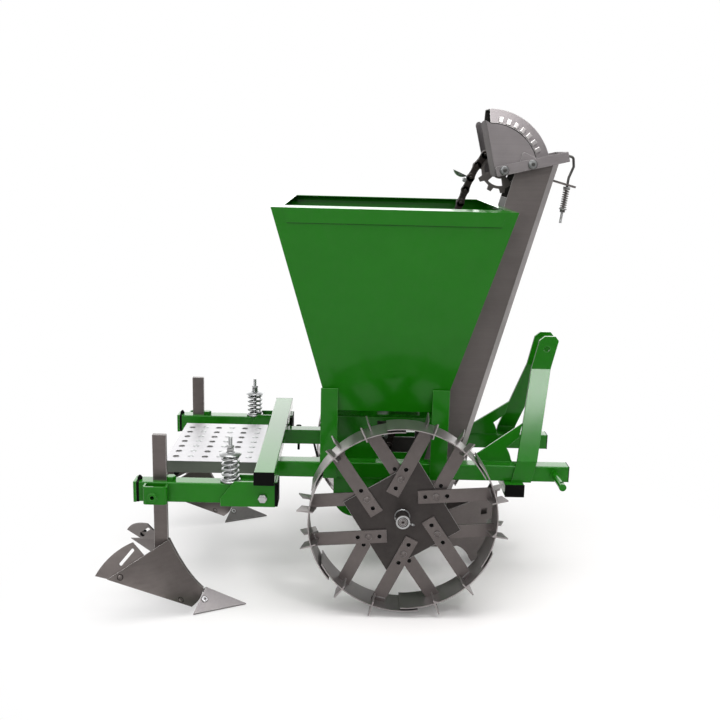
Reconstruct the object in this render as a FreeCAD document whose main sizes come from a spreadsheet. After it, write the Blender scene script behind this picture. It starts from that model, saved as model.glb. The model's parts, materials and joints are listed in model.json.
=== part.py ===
# One-row potato planter, modelled in millimetres.
# +X points forward (direction of travel), +Y to the machine's left, +Z up, ground at Z = 0.
# Every sub-part is drawn relative to the wheel axle's middle and shifted forward by axle_x,
# so that the finished machine's box is centred on the origin.
import FreeCAD, Part
import Sketcher
import math
import os

V = FreeCAD.Vector
doc = FreeCAD.newDocument("potato_planter")
dims = doc.addObject("Spreadsheet::Sheet", "dims")

DIMENSIONS = {
    "axle_x": 171.0, "axle_z": 301.5,
    # frame
    "tube_side": 50.0, "tube_wall": 3.0, "tube_gauge": 167.0, "tube_top": 403.0,
    "tube_back": -431.0, "tube_front": 522.0,
    "beam_wide": 60.0, "beam_high": 40.0, "rear_beam_half": 411.0, "front_beam_half": 222.0,
    "front_beam_x": 353.0, "cap_thick": 3.0, "cap_plug": 12.0,
    "pin_radius": 11.0, "pin_length": 112.0, "pin_x": 481.0, "pin_z": 376.0,
    # three-point tower
    "upright_thick": 10.0, "upright_wide": 60.0, "upright_x": 375.0, "upright_lean": 0.22,
    "upright_low": 353.0, "upright_kink": 420.0, "upright_bend": 676.0, "upright_top": 785.0,
    "upright_gap": 66.0, "toplink_radius": 9.75, "toplink_z": 744.0, "brace_thick": 8.0,
    # hopper
    "sheet": 2.5, "hopper_rim_z": 1187.0, "hopper_low_z": 565.0, "rim_back": -392.0,
    "rim_front": 295.0, "rim_half": 338.0, "low_back": -225.0, "low_front": 122.0,
    "low_half": 172.0, "flange": 35.0, "flange_rise": 4.0, "hem_high": 42.0, "hem_thick": 3.0, "hem_inset": 33.0,
    "boot_back": -207.0, "boot_half": 85.0, "boot_top": 520.0, "boot_low": 184.0,
    "boot_wall": 3.0, "boot_round": 70.0,
    "post_wide": 52.0, "post_thick": 6.0, "post_top": 640.0,
    # elevator
    "duct_front_x": 227.0, "duct_datum_z": 443.0, "duct_slope": 0.2644, "duct_deep": 128.0,
    "duct_half": 60.0, "duct_bevel": 19.0, "duct_low": 190.0, "duct_high": 1368.0, "duct_inlet": 960.0,
    "duct_mouth": 1215.0,
    "upper_x": 287.0, "upper_z": 1297.0, "chain_pitch": 40.88, "chain_links": 60.0, "upper_teeth": 10.0,
    "lower_teeth": 8.0, "link_high": 20.0, "plate_inner": 5.5, "plate_outer": 10.5,
    "sprocket_thick": 8.0, "cup_radius": 24.0, "cup_deep": 12.0, "cup_wall": 2.0, "cup_gap": 12.0,
    # elevator head
    "head_x": 242.0, "head_z": 1285.0, "cheek_radius": 148.0, "cheek_half": 75.0, "lip_turn": 35.0,
    "cowl_inner": 150.3, "cowl_radius": 192.0, "cowl_half": 50.0, "yoke_slope": 13.1, "yoke_high": 30.0,
    "yoke_thick": 6.0, "yoke_half": 80.0, "yoke_reach": 197.0,
    # furrow opener
    "opener_half": 65.0, "opener_wall": 4.0,
    # platform
    "step_back": -726.0, "step_front": -433.0, "step_half": 203.0, "step_top": 401.0,
    "step_skirt": 37.0, "step_hole": 8.0,
    # ridger gangs
    "ridger_y": 350.0, "arm_wide": 50.0, "arm_high": 60.0, "arm_wall": 3.0, "arm_low": 333.0,
    "arm_back": -782.0, "arm_front": -372.0, "pivot_x": -407.0, "pivot_z": 355.0,
    "pivot_radius": 8.0, "cheek_thick": 8.0, "spring_x": -504.0, "rod_radius": 7.0,
    "rod_top": 531.0, "spring_radius": 27.0, "spring_inner": 20.0, "washer_z": 482.0,
    "shank_x": -709.0, "shank_wide": 40.0, "shank_thick": 15.0, "shank_top": 531.0,
    "shank_low": 60.0, "share_thick": 5.0, "wing_thick": 4.0,
    # wheels
    "wheel_y": 366.0, "wheel_turn": 4.0, "rim_radius": 276.0, "rim_wide": 100.0, "rim_thick": 3.0,
    "rim_shift": 9.0, "rim_reach": 35.5, "lug_tip": 309.04, "lug_root": 252.0, "lug_inner": 12.0, "lug_outer": 50.0,
    "lug_spread": 11.0, "hub_side": 252.0, "hub_thick": 6.0, "hub_turn": 28.0,
    "spoke_wide": 40.0, "spoke_thick": 5.0, "spoke_offset": 58.0, "spoke_hole": 6.5, "spoke_start": 48.0,
    "boss_radius": 20.5, "boss_length": 74.0, "axle_radius": 15.0, "axle_half": 416.0,
    "bearing_clear": 0.05,
}

for row, (alias, amount) in enumerate(DIMENSIONS.items(), 1):
    dims.set("A%d" % row, alias)
    dims.set("B%d" % row, str(amount))
    dims.setAlias("B%d" % row, alias)
doc.recompute()

SIDES = {"right": -1, "left": 1}
SUBPARTS = []


def size(alias):
    return float(dims.get(alias))


def finish(part, label, extra=""):
    """Name a finished sub-part and shift it from the axle's frame to the machine's frame."""
    part.Label = label
    part.setExpression("Placement.Base.x", "dims.axle_x" + extra)
    SUBPARTS.append(part)
    return part


# ---------------------------------------------------------------- building blocks
def new_body(name):
    return doc.addObject("PartDesign::Body", name)


def sketch_on(body, role, offset=0.0):
    sketch = body.newObject("Sketcher::SketchObject", body.Name + "_outline")
    plane = [item for item in body.Origin.OriginFeatures if item.Role == role][0]
    sketch.AttachmentSupport = [(plane, "")]
    sketch.MapMode = "FlatFace"
    sketch.AttachmentOffset = FreeCAD.Placement(V(0, 0, offset), FreeCAD.Rotation())
    return sketch


def draw_outline(sketch, points):
    """Closed outline. A plain point is a corner; ("arc", via, corner) reaches it by an arc."""
    if points[-1][0] == "arc" and points[-1][2] == points[0]:
        points = [points[-1]] + points[1:-1]
    corners = [p if p[0] != "arc" else p[2] for p in points]
    first = sketch.GeometryCount
    for index, corner in enumerate(corners):
        target = points[(index + 1) % len(points)]
        start = V(corner[0], corner[1], 0)
        if target[0] == "arc":
            via, end = target[1], target[2]
            sketch.addGeometry(Part.Arc(start, V(via[0], via[1], 0), V(end[0], end[1], 0)))
        else:
            sketch.addGeometry(Part.LineSegment(start, V(target[0], target[1], 0)))
    for geometry in range(first, sketch.GeometryCount):
        sketch.addConstraint(Sketcher.Constraint("Block", geometry))


def draw_circle(sketch, centre, radius, expression=None):
    circle = sketch.addGeometry(Part.Circle(V(centre[0], centre[1], 0), V(0, 0, 1), radius))
    place = sketch.addConstraint(Sketcher.Constraint("Radius", circle, radius))
    if expression:
        sketch.setExpression("Constraints[%d]" % place, expression)


def draw_rectangle(sketch, centre, wide, high, expressions):
    """Rectangle whose two sizes follow the sheet."""
    x0, y0 = centre[0] - wide / 2, centre[1] - high / 2
    corners = [V(x0, y0, 0), V(x0 + wide, y0, 0), V(x0 + wide, y0 + high, 0), V(x0, y0 + high, 0)]
    first = sketch.GeometryCount
    for index in range(4):
        sketch.addGeometry(Part.LineSegment(corners[index], corners[(index + 1) % 4]))
    for index in range(4):
        following = first + (index + 1) % 4
        sketch.addConstraint(Sketcher.Constraint("Coincident", first + index, 2, following, 1))
        kind = "Horizontal" if index % 2 == 0 else "Vertical"
        sketch.addConstraint(Sketcher.Constraint(kind, first + index))
    sketch.addConstraint(Sketcher.Constraint("DistanceX", -1, 1, first, 1, x0))
    sketch.addConstraint(Sketcher.Constraint("DistanceY", -1, 1, first, 1, y0))
    across = sketch.addConstraint(Sketcher.Constraint("DistanceX", first, 1, first, 2, wide))
    up = sketch.addConstraint(Sketcher.Constraint("DistanceY", first + 1, 1, first + 1, 2, high))
    sketch.setExpression("Constraints[%d]" % across, expressions[0])
    sketch.setExpression("Constraints[%d]" % up, expressions[1])


def pad(body, sketch, expression, symmetric=True):
    feature = body.newObject("PartDesign::Pad", body.Name + "_pad")
    feature.Profile = sketch
    feature.setExpression("Length", expression)
    feature.SideType = "Symmetric" if symmetric else "One side"
    return feature


def plate(name, role, points, thick, offset=0.0, holes=()):
    """A flat plate: an outline with round holes, padded half each way from its middle plane."""
    body = new_body(name)
    sketch = sketch_on(body, role, offset)
    draw_outline(sketch, points)
    for centre, radius, expression in holes:
        draw_circle(sketch, centre, radius, expression)
    pad(body, sketch, thick)
    return body


def side_plate(name, points, thick, y, holes=()):
    """A plate that stands along the machine. The XZ plane faces backwards along Y."""
    return plate(name, "XZ_Plane", points, thick, -y, holes)


def hollow_tube(name, role, start, length, centre, wide, high, wall):
    """A rectangular tube drawn across its run; start is where the run begins."""
    body = new_body(name)
    sketch = sketch_on(body, role, start)
    w, h, t = size(wide), size(high), size(wall)
    draw_rectangle(sketch, centre, w, h, ("dims." + wide, "dims." + high))
    inner = ("dims.%s - 2 * dims.%s" % (wide, wall), "dims.%s - 2 * dims.%s" % (high, wall))
    draw_rectangle(sketch, centre, w - 2 * t, h - 2 * t, inner)
    pad(body, sketch, length, symmetric=False)
    return body


def box(name, low, high):
    item = doc.addObject("Part::Box", name)
    item.Length, item.Width, item.Height = [high[i] - low[i] for i in range(3)]
    item.Placement.Base = V(*low)
    return item


def cylinder(name, radius, length, base, direction, expression=None):
    item = doc.addObject("Part::Cylinder", name)
    item.Radius, item.Height = radius, length
    if expression:
        item.setExpression("Radius", expression)
    item.Placement = FreeCAD.Placement(V(*base), FreeCAD.Rotation(V(0, 0, 1), V(*direction)))
    return item


def wedge(name, low_z, high_z, low_box, high_box):
    """A frustum-like solid between two level rectangles, each (x0, x1, y0, y1)."""
    item = doc.addObject("Part::Wedge", name)
    item.Ymin, item.Ymax = low_z, high_z
    item.Xmin, item.Xmax, item.X2min, item.X2max = low_box[0], low_box[1], high_box[0], high_box[1]
    item.Zmin, item.Zmax, item.Z2min, item.Z2max = -low_box[3], -low_box[2], -high_box[3], -high_box[2]
    item.Placement = FreeCAD.Placement(V(0, 0, 0), FreeCAD.Rotation(V(1, 0, 0), 90))
    return item


def fuse(name, items):
    if len(items) == 1:
        return items[0]
    joined = doc.addObject("Part::MultiFuse", name)
    joined.Shapes = items
    joined.Refine = True
    return joined


def cut(name, base, tools):
    result = doc.addObject("Part::Cut", name)
    result.Base = base
    result.Tool = fuse(name + "_tools", tools)
    return result


def common(name, first, second):
    result = doc.addObject("Part::MultiCommon", name)
    result.Shapes = [first, second]
    return result


def group(name, items):
    """Like pieces that share a node without touching."""
    bundle = doc.addObject("Part::Compound", name)
    bundle.Links = items
    return bundle


def solid(name, shape):
    """A shape drawn with Part's own functions, for sheets that follow no flat outline."""
    item = doc.addObject("Part::Feature", name)
    item.Shape = shape
    return item


def polar(centre, radius, degrees):
    angle = math.radians(degrees)
    return (centre[0] + radius * math.cos(angle), centre[1] + radius * math.sin(angle))


# ---------------------------------------------------------------- frame
TUBE_MID = size("tube_top") - size("tube_side") / 2
TUBE_LENGTH = "dims.tube_front - dims.tube_back"
OUTER_FACE = size("tube_gauge") + size("tube_side") / 2
BEAM_MID = size("tube_back") + size("beam_wide") / 2
BEAM_Z = size("tube_top") + size("beam_high") / 2
FRONT_BEAM_Z = size("tube_top") - size("tube_side") - size("beam_high") / 2


def make_frame():
    for side, sign in SIDES.items():
        tube = hollow_tube("main_tube_" + side, "YZ_Plane", size("tube_back"), TUBE_LENGTH,
                           (sign * size("tube_gauge"), TUBE_MID), "tube_side", "tube_side", "tube_wall")
        finish(tube, "main_tube_" + side)
    for name, middle, height, half in (("rear_beam", BEAM_MID, BEAM_Z, "rear_beam_half"),
                                       ("front_beam", size("front_beam_x"), FRONT_BEAM_Z, "front_beam_half")):
        beam = hollow_tube(name, "XZ_Plane", -size(half), "2 * dims." + half, (middle, height),
                           "beam_wide", "beam_high", "tube_wall")
        finish(beam, name)
    finish(group("end_caps", end_caps()), "end_caps")
    finish(group("lower_link_pins", [link_pin(side) for side in SIDES]), "lower_link_pins")


def end_cap(name, centre, normal, wide, high):
    """A plastic cap: a flange as large as the tube and a plug inside it."""
    thick, plug, wall = size("cap_thick"), size("cap_plug"), size("tube_wall") + 0.2
    pieces = []
    for half_a, half_b, start, end in ((wide / 2, high / 2, 0, thick),
                                       (wide / 2 - wall, high / 2 - wall, -plug, 0)):
        low, top = [], []
        for axis in range(3):
            if normal[axis]:
                ends = sorted((centre[axis] + normal[axis] * start, centre[axis] + normal[axis] * end))
            elif axis == 2:
                ends = (centre[2] - half_b, centre[2] + half_b)
            else:
                ends = (centre[axis] - half_a, centre[axis] + half_a)
            low.append(ends[0])
            top.append(ends[1])
        pieces.append(box("%s_%d" % (name, len(pieces)), low, top))
    return fuse(name, pieces)


def end_caps():
    caps = []
    wide, high, side_length = size("beam_wide"), size("beam_high"), size("tube_side")
    for side, sign in SIDES.items():
        rear = (BEAM_MID, sign * size("rear_beam_half"), BEAM_Z)
        front = (size("front_beam_x"), sign * size("front_beam_half"), FRONT_BEAM_Z)
        nose = (size("tube_front"), sign * size("tube_gauge"), TUBE_MID)
        caps.append(end_cap("rear_cap_" + side, rear, (0, sign, 0), wide, high))
        caps.append(end_cap("front_cap_" + side, front, (0, sign, 0), wide, high))
        caps.append(end_cap("nose_cap_" + side, nose, (1, 0, 0), side_length, side_length))
    return caps


def link_pin(side):
    """Lower-link pin with a collar at the tube and a linch-pin hole near its end."""
    sign = SIDES[side]
    radius, length, hole = size("pin_radius"), size("pin_length"), 5.0
    base = (size("pin_x"), sign * OUTER_FACE, size("pin_z"))
    shaft = cylinder("pin_shaft_" + side, radius, length, base, (0, sign, 0), "dims.pin_radius")
    collar = cylinder("pin_collar_" + side, radius + 6, 7, base, (0, sign, 0), "dims.pin_radius + 6")
    drill_y = sign * (OUTER_FACE + length - 18)
    drill = cylinder("pin_drill_" + side, hole, 60, (base[0], drill_y, base[2] - 30), (0, 0, 1))
    return cut("link_pin_" + side, fuse("pin_blank_" + side, [shaft, collar]), [drill])


# ---------------------------------------------------------------- three-point tower
def make_tower():
    low, top = size("upright_low"), size("upright_top")
    half = size("upright_wide") / 2 * 1.03
    lean, start = size("upright_lean"), size("upright_x")
    chamfer = 14.0

    def lean_x(height):
        return start + lean * (height - low)

    leaning = [(start - half, low), (start + half, low), (lean_x(top - chamfer) + half, top - chamfer),
               (lean_x(top) + half - chamfer, top), (lean_x(top) - half + chamfer, top),
               (lean_x(top - chamfer) - half, top - chamfer)]
    eye = ((lean_x(size("toplink_z")), size("toplink_z")), size("toplink_radius"), "dims.toplink_radius")
    braces = []
    for side, sign in SIDES.items():
        blank = side_plate("upright_blank_" + side, leaning, "400 mm", sign * 150, [eye])
        thick, inner = size("upright_thick"), size("upright_gap") / 2
        kink, bend = size("upright_kink"), size("upright_bend")
        section = [(OUTER_FACE, low), (OUTER_FACE + thick, low), (OUTER_FACE + thick, kink + 2),
                   (inner + thick, bend + 3), (inner + thick, top), (inner, top), (inner, bend), (OUTER_FACE, kink)]
        section = [(sign * y, z) for y, z in section]
        strip = plate("upright_strip_" + side, "YZ_Plane", section, "600 mm", 400.0)
        finish(common("hitch_upright_" + side, blank, strip), "hitch_upright_" + side)
        # brace: stands on the tube, leans inwards and meets the upright's back edge at half its height
        stand, brace_lean, tip_z, notch_z = 147.0, 8.0, 525.0, 478.0
        outline = [(237, size("tube_top")), (237, 423), (lean_x(tip_z) - half - 0.3, tip_z),
                   (lean_x(notch_z) - half - 0.3, notch_z), (334, 446), ("arc", (345, 424), (350, size("tube_top")))]
        brace = side_plate("brace_" + side, outline, "dims.brace_thick", sign * stand)
        brace.Placement = FreeCAD.Placement(V(0, 0, 0.7), FreeCAD.Rotation(V(1, 0, 0), sign * brace_lean),
                                            V(0, sign * stand, size("tube_top")))
        braces.append(brace)
    finish(group("hitch_braces", braces), "hitch_braces")


# ---------------------------------------------------------------- hopper
def hopper_level(height):
    """The hopper's outer box (x0, x1, half width) at a height."""
    share = (height - size("hopper_low_z")) / (size("hopper_rim_z") - size("hopper_low_z"))
    return [size(low) + share * (size(rim) - size(low)) for low, rim in
            (("low_back", "rim_back"), ("low_front", "rim_front"), ("low_half", "rim_half"))]


def make_hopper():
    low_z, rim_z, t = size("hopper_low_z"), size("hopper_rim_z"), size("sheet")
    x0, x1, half = hopper_level(low_z)
    rim0, rim1, rim_half = hopper_level(rim_z)
    flange, rise = size("flange"), size("flange_rise")
    hem_low, inset, hem_wall = hopper_level(rim_z - size("hem_high")), size("hem_inset"), size("hem_thick")
    for side, sign in SIDES.items():
        def span(outer, thick, inset=0.0, sign=sign):
            ends = sorted((sign * (outer - inset), sign * (outer - inset - thick)))
            return tuple(ends)

        panel = wedge("side_sheet_" + side, low_z, rim_z, (x0, x1) + span(half, t), (rim0, rim1) + span(rim_half, t))
        shelf_name = "side_flange_" + side
        points = [(sign * (rim_half - 1), rim_z - t), (sign * (rim_half - flange), rim_z - t + rise),
                  (sign * (rim_half - flange), rim_z + rise), (sign * (rim_half - 1), rim_z)]
        shelf = plate(shelf_name, "YZ_Plane", points, "700 mm", (rim0 + rim1) / 2)
        mitred = common("side_shelf_" + side, shelf, side_trim("side_trim_" + side, rim0, rim1, rim_half, sign))
        hem = wedge("side_hem_" + side, rim_z - size("hem_high"), rim_z,
                    (hem_low[0] + inset, hem_low[1] - inset) + span(hem_low[2], hem_wall, -hem_wall),
                    (rim0 + inset, rim1 - inset) + span(rim_half, hem_wall, -hem_wall))
        finish(fuse("hopper_side_" + side, [panel, mitred, hem]), "hopper_side_" + side)
    for name, outer_low, outer_rim, sign in (("hopper_rear", x0, rim0, 1), ("hopper_front", x1, rim1, -1)):
        low_span = tuple(sorted((outer_low, outer_low + sign * t)))
        rim_span = tuple(sorted((outer_rim, outer_rim + sign * t)))
        panel = wedge(name + "_sheet", low_z, rim_z, low_span + (t - half, half - t),
                      rim_span + (t - rim_half, rim_half - t))
        points = [(outer_rim + sign, rim_z - t), (outer_rim + sign * flange, rim_z - t + rise),
                  (outer_rim + sign * flange, rim_z + rise), (outer_rim + sign, rim_z)]
        shelf = plate(name + "_flange", "XZ_Plane", points, "700 mm")
        trim = end_trim(name + "_trim", outer_rim, sign, rim_half)
        mitred = common(name + "_shelf", shelf, trim)
        finish(fuse(name, [panel, mitred]), name)
    # funnel that leads the tubers down to the boot
    top, low = size("hopper_low_z"), size("boot_top")
    boot = (size("boot_back"), 109.0, -size("boot_half"), size("boot_half"))
    outer = wedge("funnel_outer", low, top, boot, (x0, x1, -half, half))
    inner = wedge("funnel_inner", low - 1, top + 1, shrink(boot, t), shrink((x0, x1, -half, half), t))
    finish(cut("hopper_funnel", outer, [inner]), "hopper_funnel")


def shrink(level, by):
    return (level[0] + by, level[1] - by, level[2] + by, level[3] - by)


def side_trim(name, rim0, rim1, rim_half, sign):
    """Plan of a side flange with its corners cut at 45 degrees."""
    flange = size("flange")
    outline = [(rim0, sign * rim_half), (rim1, sign * rim_half), (rim1 - flange, sign * (rim_half - flange)),
               (rim0 + flange, sign * (rim_half - flange))]
    return plate(name, "XY_Plane", outline, "60 mm", size("hopper_rim_z"))


def end_trim(name, outer, sign, rim_half):
    """Plan of an end flange, kept between the two side sheets."""
    flange, clear = size("flange"), 2 * size("sheet")
    outline = [(outer, clear - rim_half), (outer, rim_half - clear), (outer + sign * clear, rim_half - clear),
               (outer + sign * flange, rim_half - flange), (outer + sign * flange, flange - rim_half),
               (outer + sign * clear, clear - rim_half)]
    return plate(name, "XY_Plane", outline, "60 mm", size("hopper_rim_z"))


def make_posts():
    posts = []
    low, top, thick = size("upright_low"), size("post_top"), size("post_thick")
    for side, sign in SIDES.items():
        for end, middle in (("back", -223.0), ("front", 117.0)):
            half = size("post_wide") / 2
            outline = [(middle - half, low), (middle + half, low), (middle + half, top), (middle - half, top)]
            posts.append(side_plate("post_%s_%s" % (end, side), outline, "dims.post_thick",
                                    sign * (OUTER_FACE + thick / 2)))
    finish(group("hopper_posts", posts), "hopper_posts")


def make_boot():
    """Round-bottomed trough round the lower sprocket, open at the top and towards the duct."""
    back, low, top = size("boot_back"), size("boot_low"), size("boot_top")
    curve, wall, half = size("boot_round"), size("boot_wall"), size("boot_half")

    def outline(inset, above):
        left, floor, bend = back + inset, low + inset, curve - inset
        front_top, front_low = duct_rear(top + above) - 1 + above, duct_rear(low) - 1 + above
        corner = (left + bend, floor + bend)
        return [(left, top + above), (left, corner[1]), ("arc", polar(corner, bend, 225), (corner[0], floor)),
                (front_low, floor), (front_top, top + above)]

    outer = side_plate("boot_outer", outline(0.0, 0.0), "2 * dims.boot_half", 0.0)
    inner = side_plate("boot_inner", outline(wall, 5.0), "2 * dims.boot_half - 2 * dims.boot_wall", 0.0)
    window = box("boot_window", (-72, -half - 5, 405), (62, half + 5, 508))
    bore = cylinder("boot_bore", size("axle_radius") + 6, 2 * half + 10, (0, -half - 5, size("axle_z")), (0, 1, 0))
    finish(cut("boot", outer, [inner, window, bore]), "boot")


# ---------------------------------------------------------------- elevator duct
def duct_front(height):
    return size("duct_front_x") + size("duct_slope") * (height - size("duct_datum_z"))


def duct_rear(height):
    return duct_front(height) - size("duct_deep")


def slanted(name, outline, low, high):
    """A level outline (measured from the duct's front face) swept up along the duct's slope."""
    body = new_body(name)
    sketch = sketch_on(body, "XY_Plane", low)
    shift = duct_front(low)
    draw_outline(sketch, [(x + shift, y) for x, y in outline])
    feature = pad(body, sketch, "1 mm", symmetric=False)
    feature.UseCustomVector = True
    feature.AlongSketchNormal = True
    feature.Direction = V(size("duct_slope"), 0, 1)
    feature.setExpression("Length", "%s" % (high - low))
    return body


def make_duct():
    low, high = size("duct_low"), size("duct_high")
    half, bevel, deep, t = size("duct_half"), size("duct_bevel"), size("duct_deep"), size("sheet")
    channel = [(-deep, -half), (-bevel, -half), (-bevel, t - half), (t - deep, t - half),
               (t - deep, half - t), (-bevel, half - t), (-bevel, half), (-deep, half)]
    front = [(-bevel, -half), (0, bevel - half), (0, half - bevel), (-bevel, half), (-bevel, half - 2 * t),
             (-t, half - bevel - t), (-t, bevel + t - half), (-bevel, 2 * t - half)]
    # the back wall is open below, where the chain comes in from the boot, and above, at the sprocket
    inlet, mouth = size("duct_inlet"), size("duct_mouth")
    throat = box("duct_throat", (-300, t - half, 0), (duct_rear(inlet) + 8, half - t, inlet))
    outlet = box("duct_outlet", (200, t - half, mouth), (duct_rear(high) + 20, half - t, high + 5))
    channel_top, front_top = [duct_top("duct_top_" + which) for which in ("channel", "front")]
    finish(cut("duct_channel", slanted("duct_blank", channel, low, high), [throat, outlet, channel_top]),
           "duct_channel")
    finish(cut("duct_front", slanted("duct_front_blank", front, low, high), [front_top]), "duct_front")


def duct_top(name):
    """What is cut off above the duct's top edge, which runs parallel to the yoke."""
    slope = math.tan(math.radians(size("yoke_slope")))
    start, length = duct_rear(size("duct_high")) - 60, 300.0
    edge = size("duct_high") - 40 - slope * (size("duct_deep") + 60)
    outline = [(start, edge), (start + length, edge + slope * length), (start + length, 1500), (start, 1500)]
    return side_plate(name, outline, "300 mm", 0.0)


# ---------------------------------------------------------------- chain and cups
UPPER = (size("upper_x"), size("upper_z"))
LOWER = (0.0, size("axle_z"))


def pitch_radius(teeth):
    return size("chain_pitch") / (2 * math.sin(math.pi / teeth))


def chain_line():
    """The loop's centre line: taut on the falling side, a little slack on the rising side."""
    upper_r, lower_r = pitch_radius(size("upper_teeth")), pitch_radius(size("lower_teeth"))
    run = math.hypot(UPPER[0] - LOWER[0], UPPER[1] - LOWER[1])
    heading = math.degrees(math.atan2(UPPER[1] - LOWER[1], UPPER[0] - LOWER[0]))
    spread = math.degrees(math.acos((lower_r - upper_r) / run))
    front = heading - spread
    leave = 141.5
    back = heading + 94.0

    def at(centre, radius, degrees):
        x, z = polar(centre, radius, degrees)
        return V(x, 0, z)

    over = Part.Arc(at(UPPER, upper_r, front), at(UPPER, upper_r, (front + leave) / 2), at(UPPER, upper_r, leave))
    under = Part.Arc(at(LOWER, lower_r, back), at(LOWER, lower_r, (back + front + 360) / 2),
                     at(LOWER, lower_r, front + 360))
    top, bottom = at(UPPER, upper_r, leave), at(LOWER, lower_r, back)
    slack = Part.BSplineCurve()
    slack.interpolate(Points=[top, V(202, 0, 1283), V(166, 0, 1186), bottom],
                      InitialTangent=V(-0.62, 0, -0.78), FinalTangent=V(-0.24, 0, -0.97))
    rise = Part.LineSegment(at(LOWER, lower_r, front + 360), at(UPPER, upper_r, front))
    return Part.Wire([over.toShape(), slack.toShape(), under.toShape(), rise.toShape()])


def chain_spots():
    """The chain's joints: evenly spaced along the loop, with the outward direction at each."""
    parts_of_link, start = 8, 3
    spots = chain_line().discretize(Number=parts_of_link * int(size("chain_links")) + 1)[start::parts_of_link]
    middle = V((UPPER[0] + LOWER[0]) / 2, 0, (UPPER[1] + LOWER[1]) / 2)
    joints = []
    for index, spot in enumerate(spots):
        along = (spots[(index + 1) % len(spots)] - spots[index - 1]).normalize()
        joints.append((spot, along, V(along.z, 0, -along.x)))
    if (joints[0][0] - middle).dot(joints[0][2]) < 0:
        joints = [(spot, along, outward * -1) for spot, along, outward in joints]
    return joints


def make_chain():
    joints = chain_spots()
    half = size("link_high") / 2
    loops = []
    for push in (half, -half):
        corners = [joint[0] + joint[2] * push for joint in joints]
        loops.append(Part.makePolygon(corners + corners[:1]))
    band = Part.Face(loops[0]).cut(Part.Face(loops[1]))
    thick = size("plate_outer") - size("plate_inner")
    strands = []
    for side, sign in SIDES.items():
        strand = band.extrude(V(0, thick, 0))
        strand.translate(V(0, size("plate_inner") if sign > 0 else -size("plate_outer"), 0))
        strands.append(solid("chain_strand_" + side, strand))
    finish(group("cup_chain", strands), "cup_chain")
    make_cups(joints)
    for name, centre, alias, phase in (("upper_sprocket", UPPER, "upper_teeth", 26.8),
                                       ("lower_sprocket", LOWER, "lower_teeth", 10.0)):
        finish(sprocket(name, centre, int(size(alias)), phase), name)


def sprocket(name, centre, teeth, phase):
    """A flat toothed disc with square-ended teeth; the upper one has four curved windows."""
    radius = pitch_radius(teeth)
    root, tip, half_tooth = radius - 8.0, radius + 5.0, 6.5
    outline = []
    for index in range(teeth):
        middle = phase + 360.0 * index / teeth
        root_half = math.degrees(math.asin(half_tooth * 1.4 / root))
        tip_half = math.degrees(math.asin(half_tooth / tip))
        gap_from = middle - 360.0 / teeth + root_half
        if index == 0:
            outline.append(polar(centre, root, middle - root_half))
        else:
            valley = polar(centre, root - 0.5, (gap_from + middle - root_half) / 2)
            outline.append(("arc", valley, polar(centre, root, middle - root_half)))
        outline.append(polar(centre, tip, middle - tip_half))
        outline.append(polar(centre, tip, middle + tip_half))
        outline.append(polar(centre, root, middle + root_half))
    if name == "lower_sprocket":
        return side_plate(name, outline, "dims.sprocket_thick", 0.0, [(centre, size("axle_radius") + 1.0, None)])
    disc = side_plate(name + "_disc", outline, "dims.sprocket_thick", 0.0, [(centre, 8.0, None)])
    windows = []
    for index in range(4):
        middle, spread, low, high = phase + 45.0 + 90.0 * index, 29.0, 27.0, 49.0
        corners = [polar(centre, low, middle - spread), polar(centre, high, middle - spread),
                   ("arc", polar(centre, high, middle), polar(centre, high, middle + spread)),
                   polar(centre, low, middle + spread),
                   ("arc", polar(centre, low, middle), polar(centre, low, middle - spread))]
        windows.append(side_plate("%s_window_%d" % (name, index), corners, "30 mm", 0.0))
    return cut(name, disc, windows)


def make_cups(joints):
    """Shallow dished cups that stand out from every third link, open towards the way the chain runs."""
    radius, deep, wall = size("cup_radius"), size("cup_deep"), size("cup_wall")
    ball = (radius ** 2 + deep ** 2) / (2 * deep)
    stand = radius + size("cup_gap")
    cups = []
    for index in range(0, len(joints), 3):
        spot, along, outward = joints[index]
        centre = V(0, 0, ball - deep)
        shell = Part.makeSphere(ball, centre).cut(Part.makeSphere(ball - wall, centre))
        dish = shell.cut(Part.makeBox(400, 400, 200, V(-200, -200, 0)))
        tab_start = size("link_high") / 2 - stand
        dish = dish.fuse(Part.makeBox(-tab_start - radius + 6.0, 14, wall, V(tab_start, -7, -wall - 1.5)))
        turn = FreeCAD.Rotation(outward, V(0, -1, 0), along * -1, "ZXY")
        dish.Placement = FreeCAD.Placement(spot + outward * stand, turn)
        cups.append(solid("cup_%02d" % index, dish))
    finish(group("chain_cups", cups), "chain_cups")


# ---------------------------------------------------------------- elevator head
HEAD = (size("head_x"), size("head_z"))


def make_head():
    t = size("sheet")
    start, end = 90.0, 20.0
    radius = size("cheek_radius")
    fold_top, fold_low = (226, 1441), (264.5, 1280.4)
    outline = [fold_low, (372, 1304), polar(HEAD, radius, end),
               ("arc", polar(HEAD, radius, (start + end) / 2), polar(HEAD, radius, start)), fold_top]
    lip_outline = [fold_top, ("arc", (214, 1437), (212, 1422)), (246, 1286), ("arc", (250, 1279), fold_low)]
    fold = V(fold_low[0] - fold_top[0], 0, fold_low[1] - fold_top[1])
    bolt = (UPPER, 7.0, None)
    cheeks = []
    for side, sign in SIDES.items():
        y = sign * (size("cheek_half") - t / 2)
        flat = side_plate("cheek_flat_" + side, outline, "dims.sheet", y, [bolt])
        lip = side_plate("cheek_lip_" + side, lip_outline, "dims.sheet", y)
        lip.Placement = FreeCAD.Placement(V(0, 0, 0), FreeCAD.Rotation(fold, -sign * size("lip_turn")),
                                          V(fold_top[0], y, fold_top[1]))
        cheeks.append(fuse("cheek_" + side, [flat, lip]))
    finish(group("head_cheeks", cheeks), "head_cheeks")
    finish(cowl(), "head_cowl", " + dims.head_x")
    finish(yoke(), "tension_yoke", " + dims.upper_x")


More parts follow.
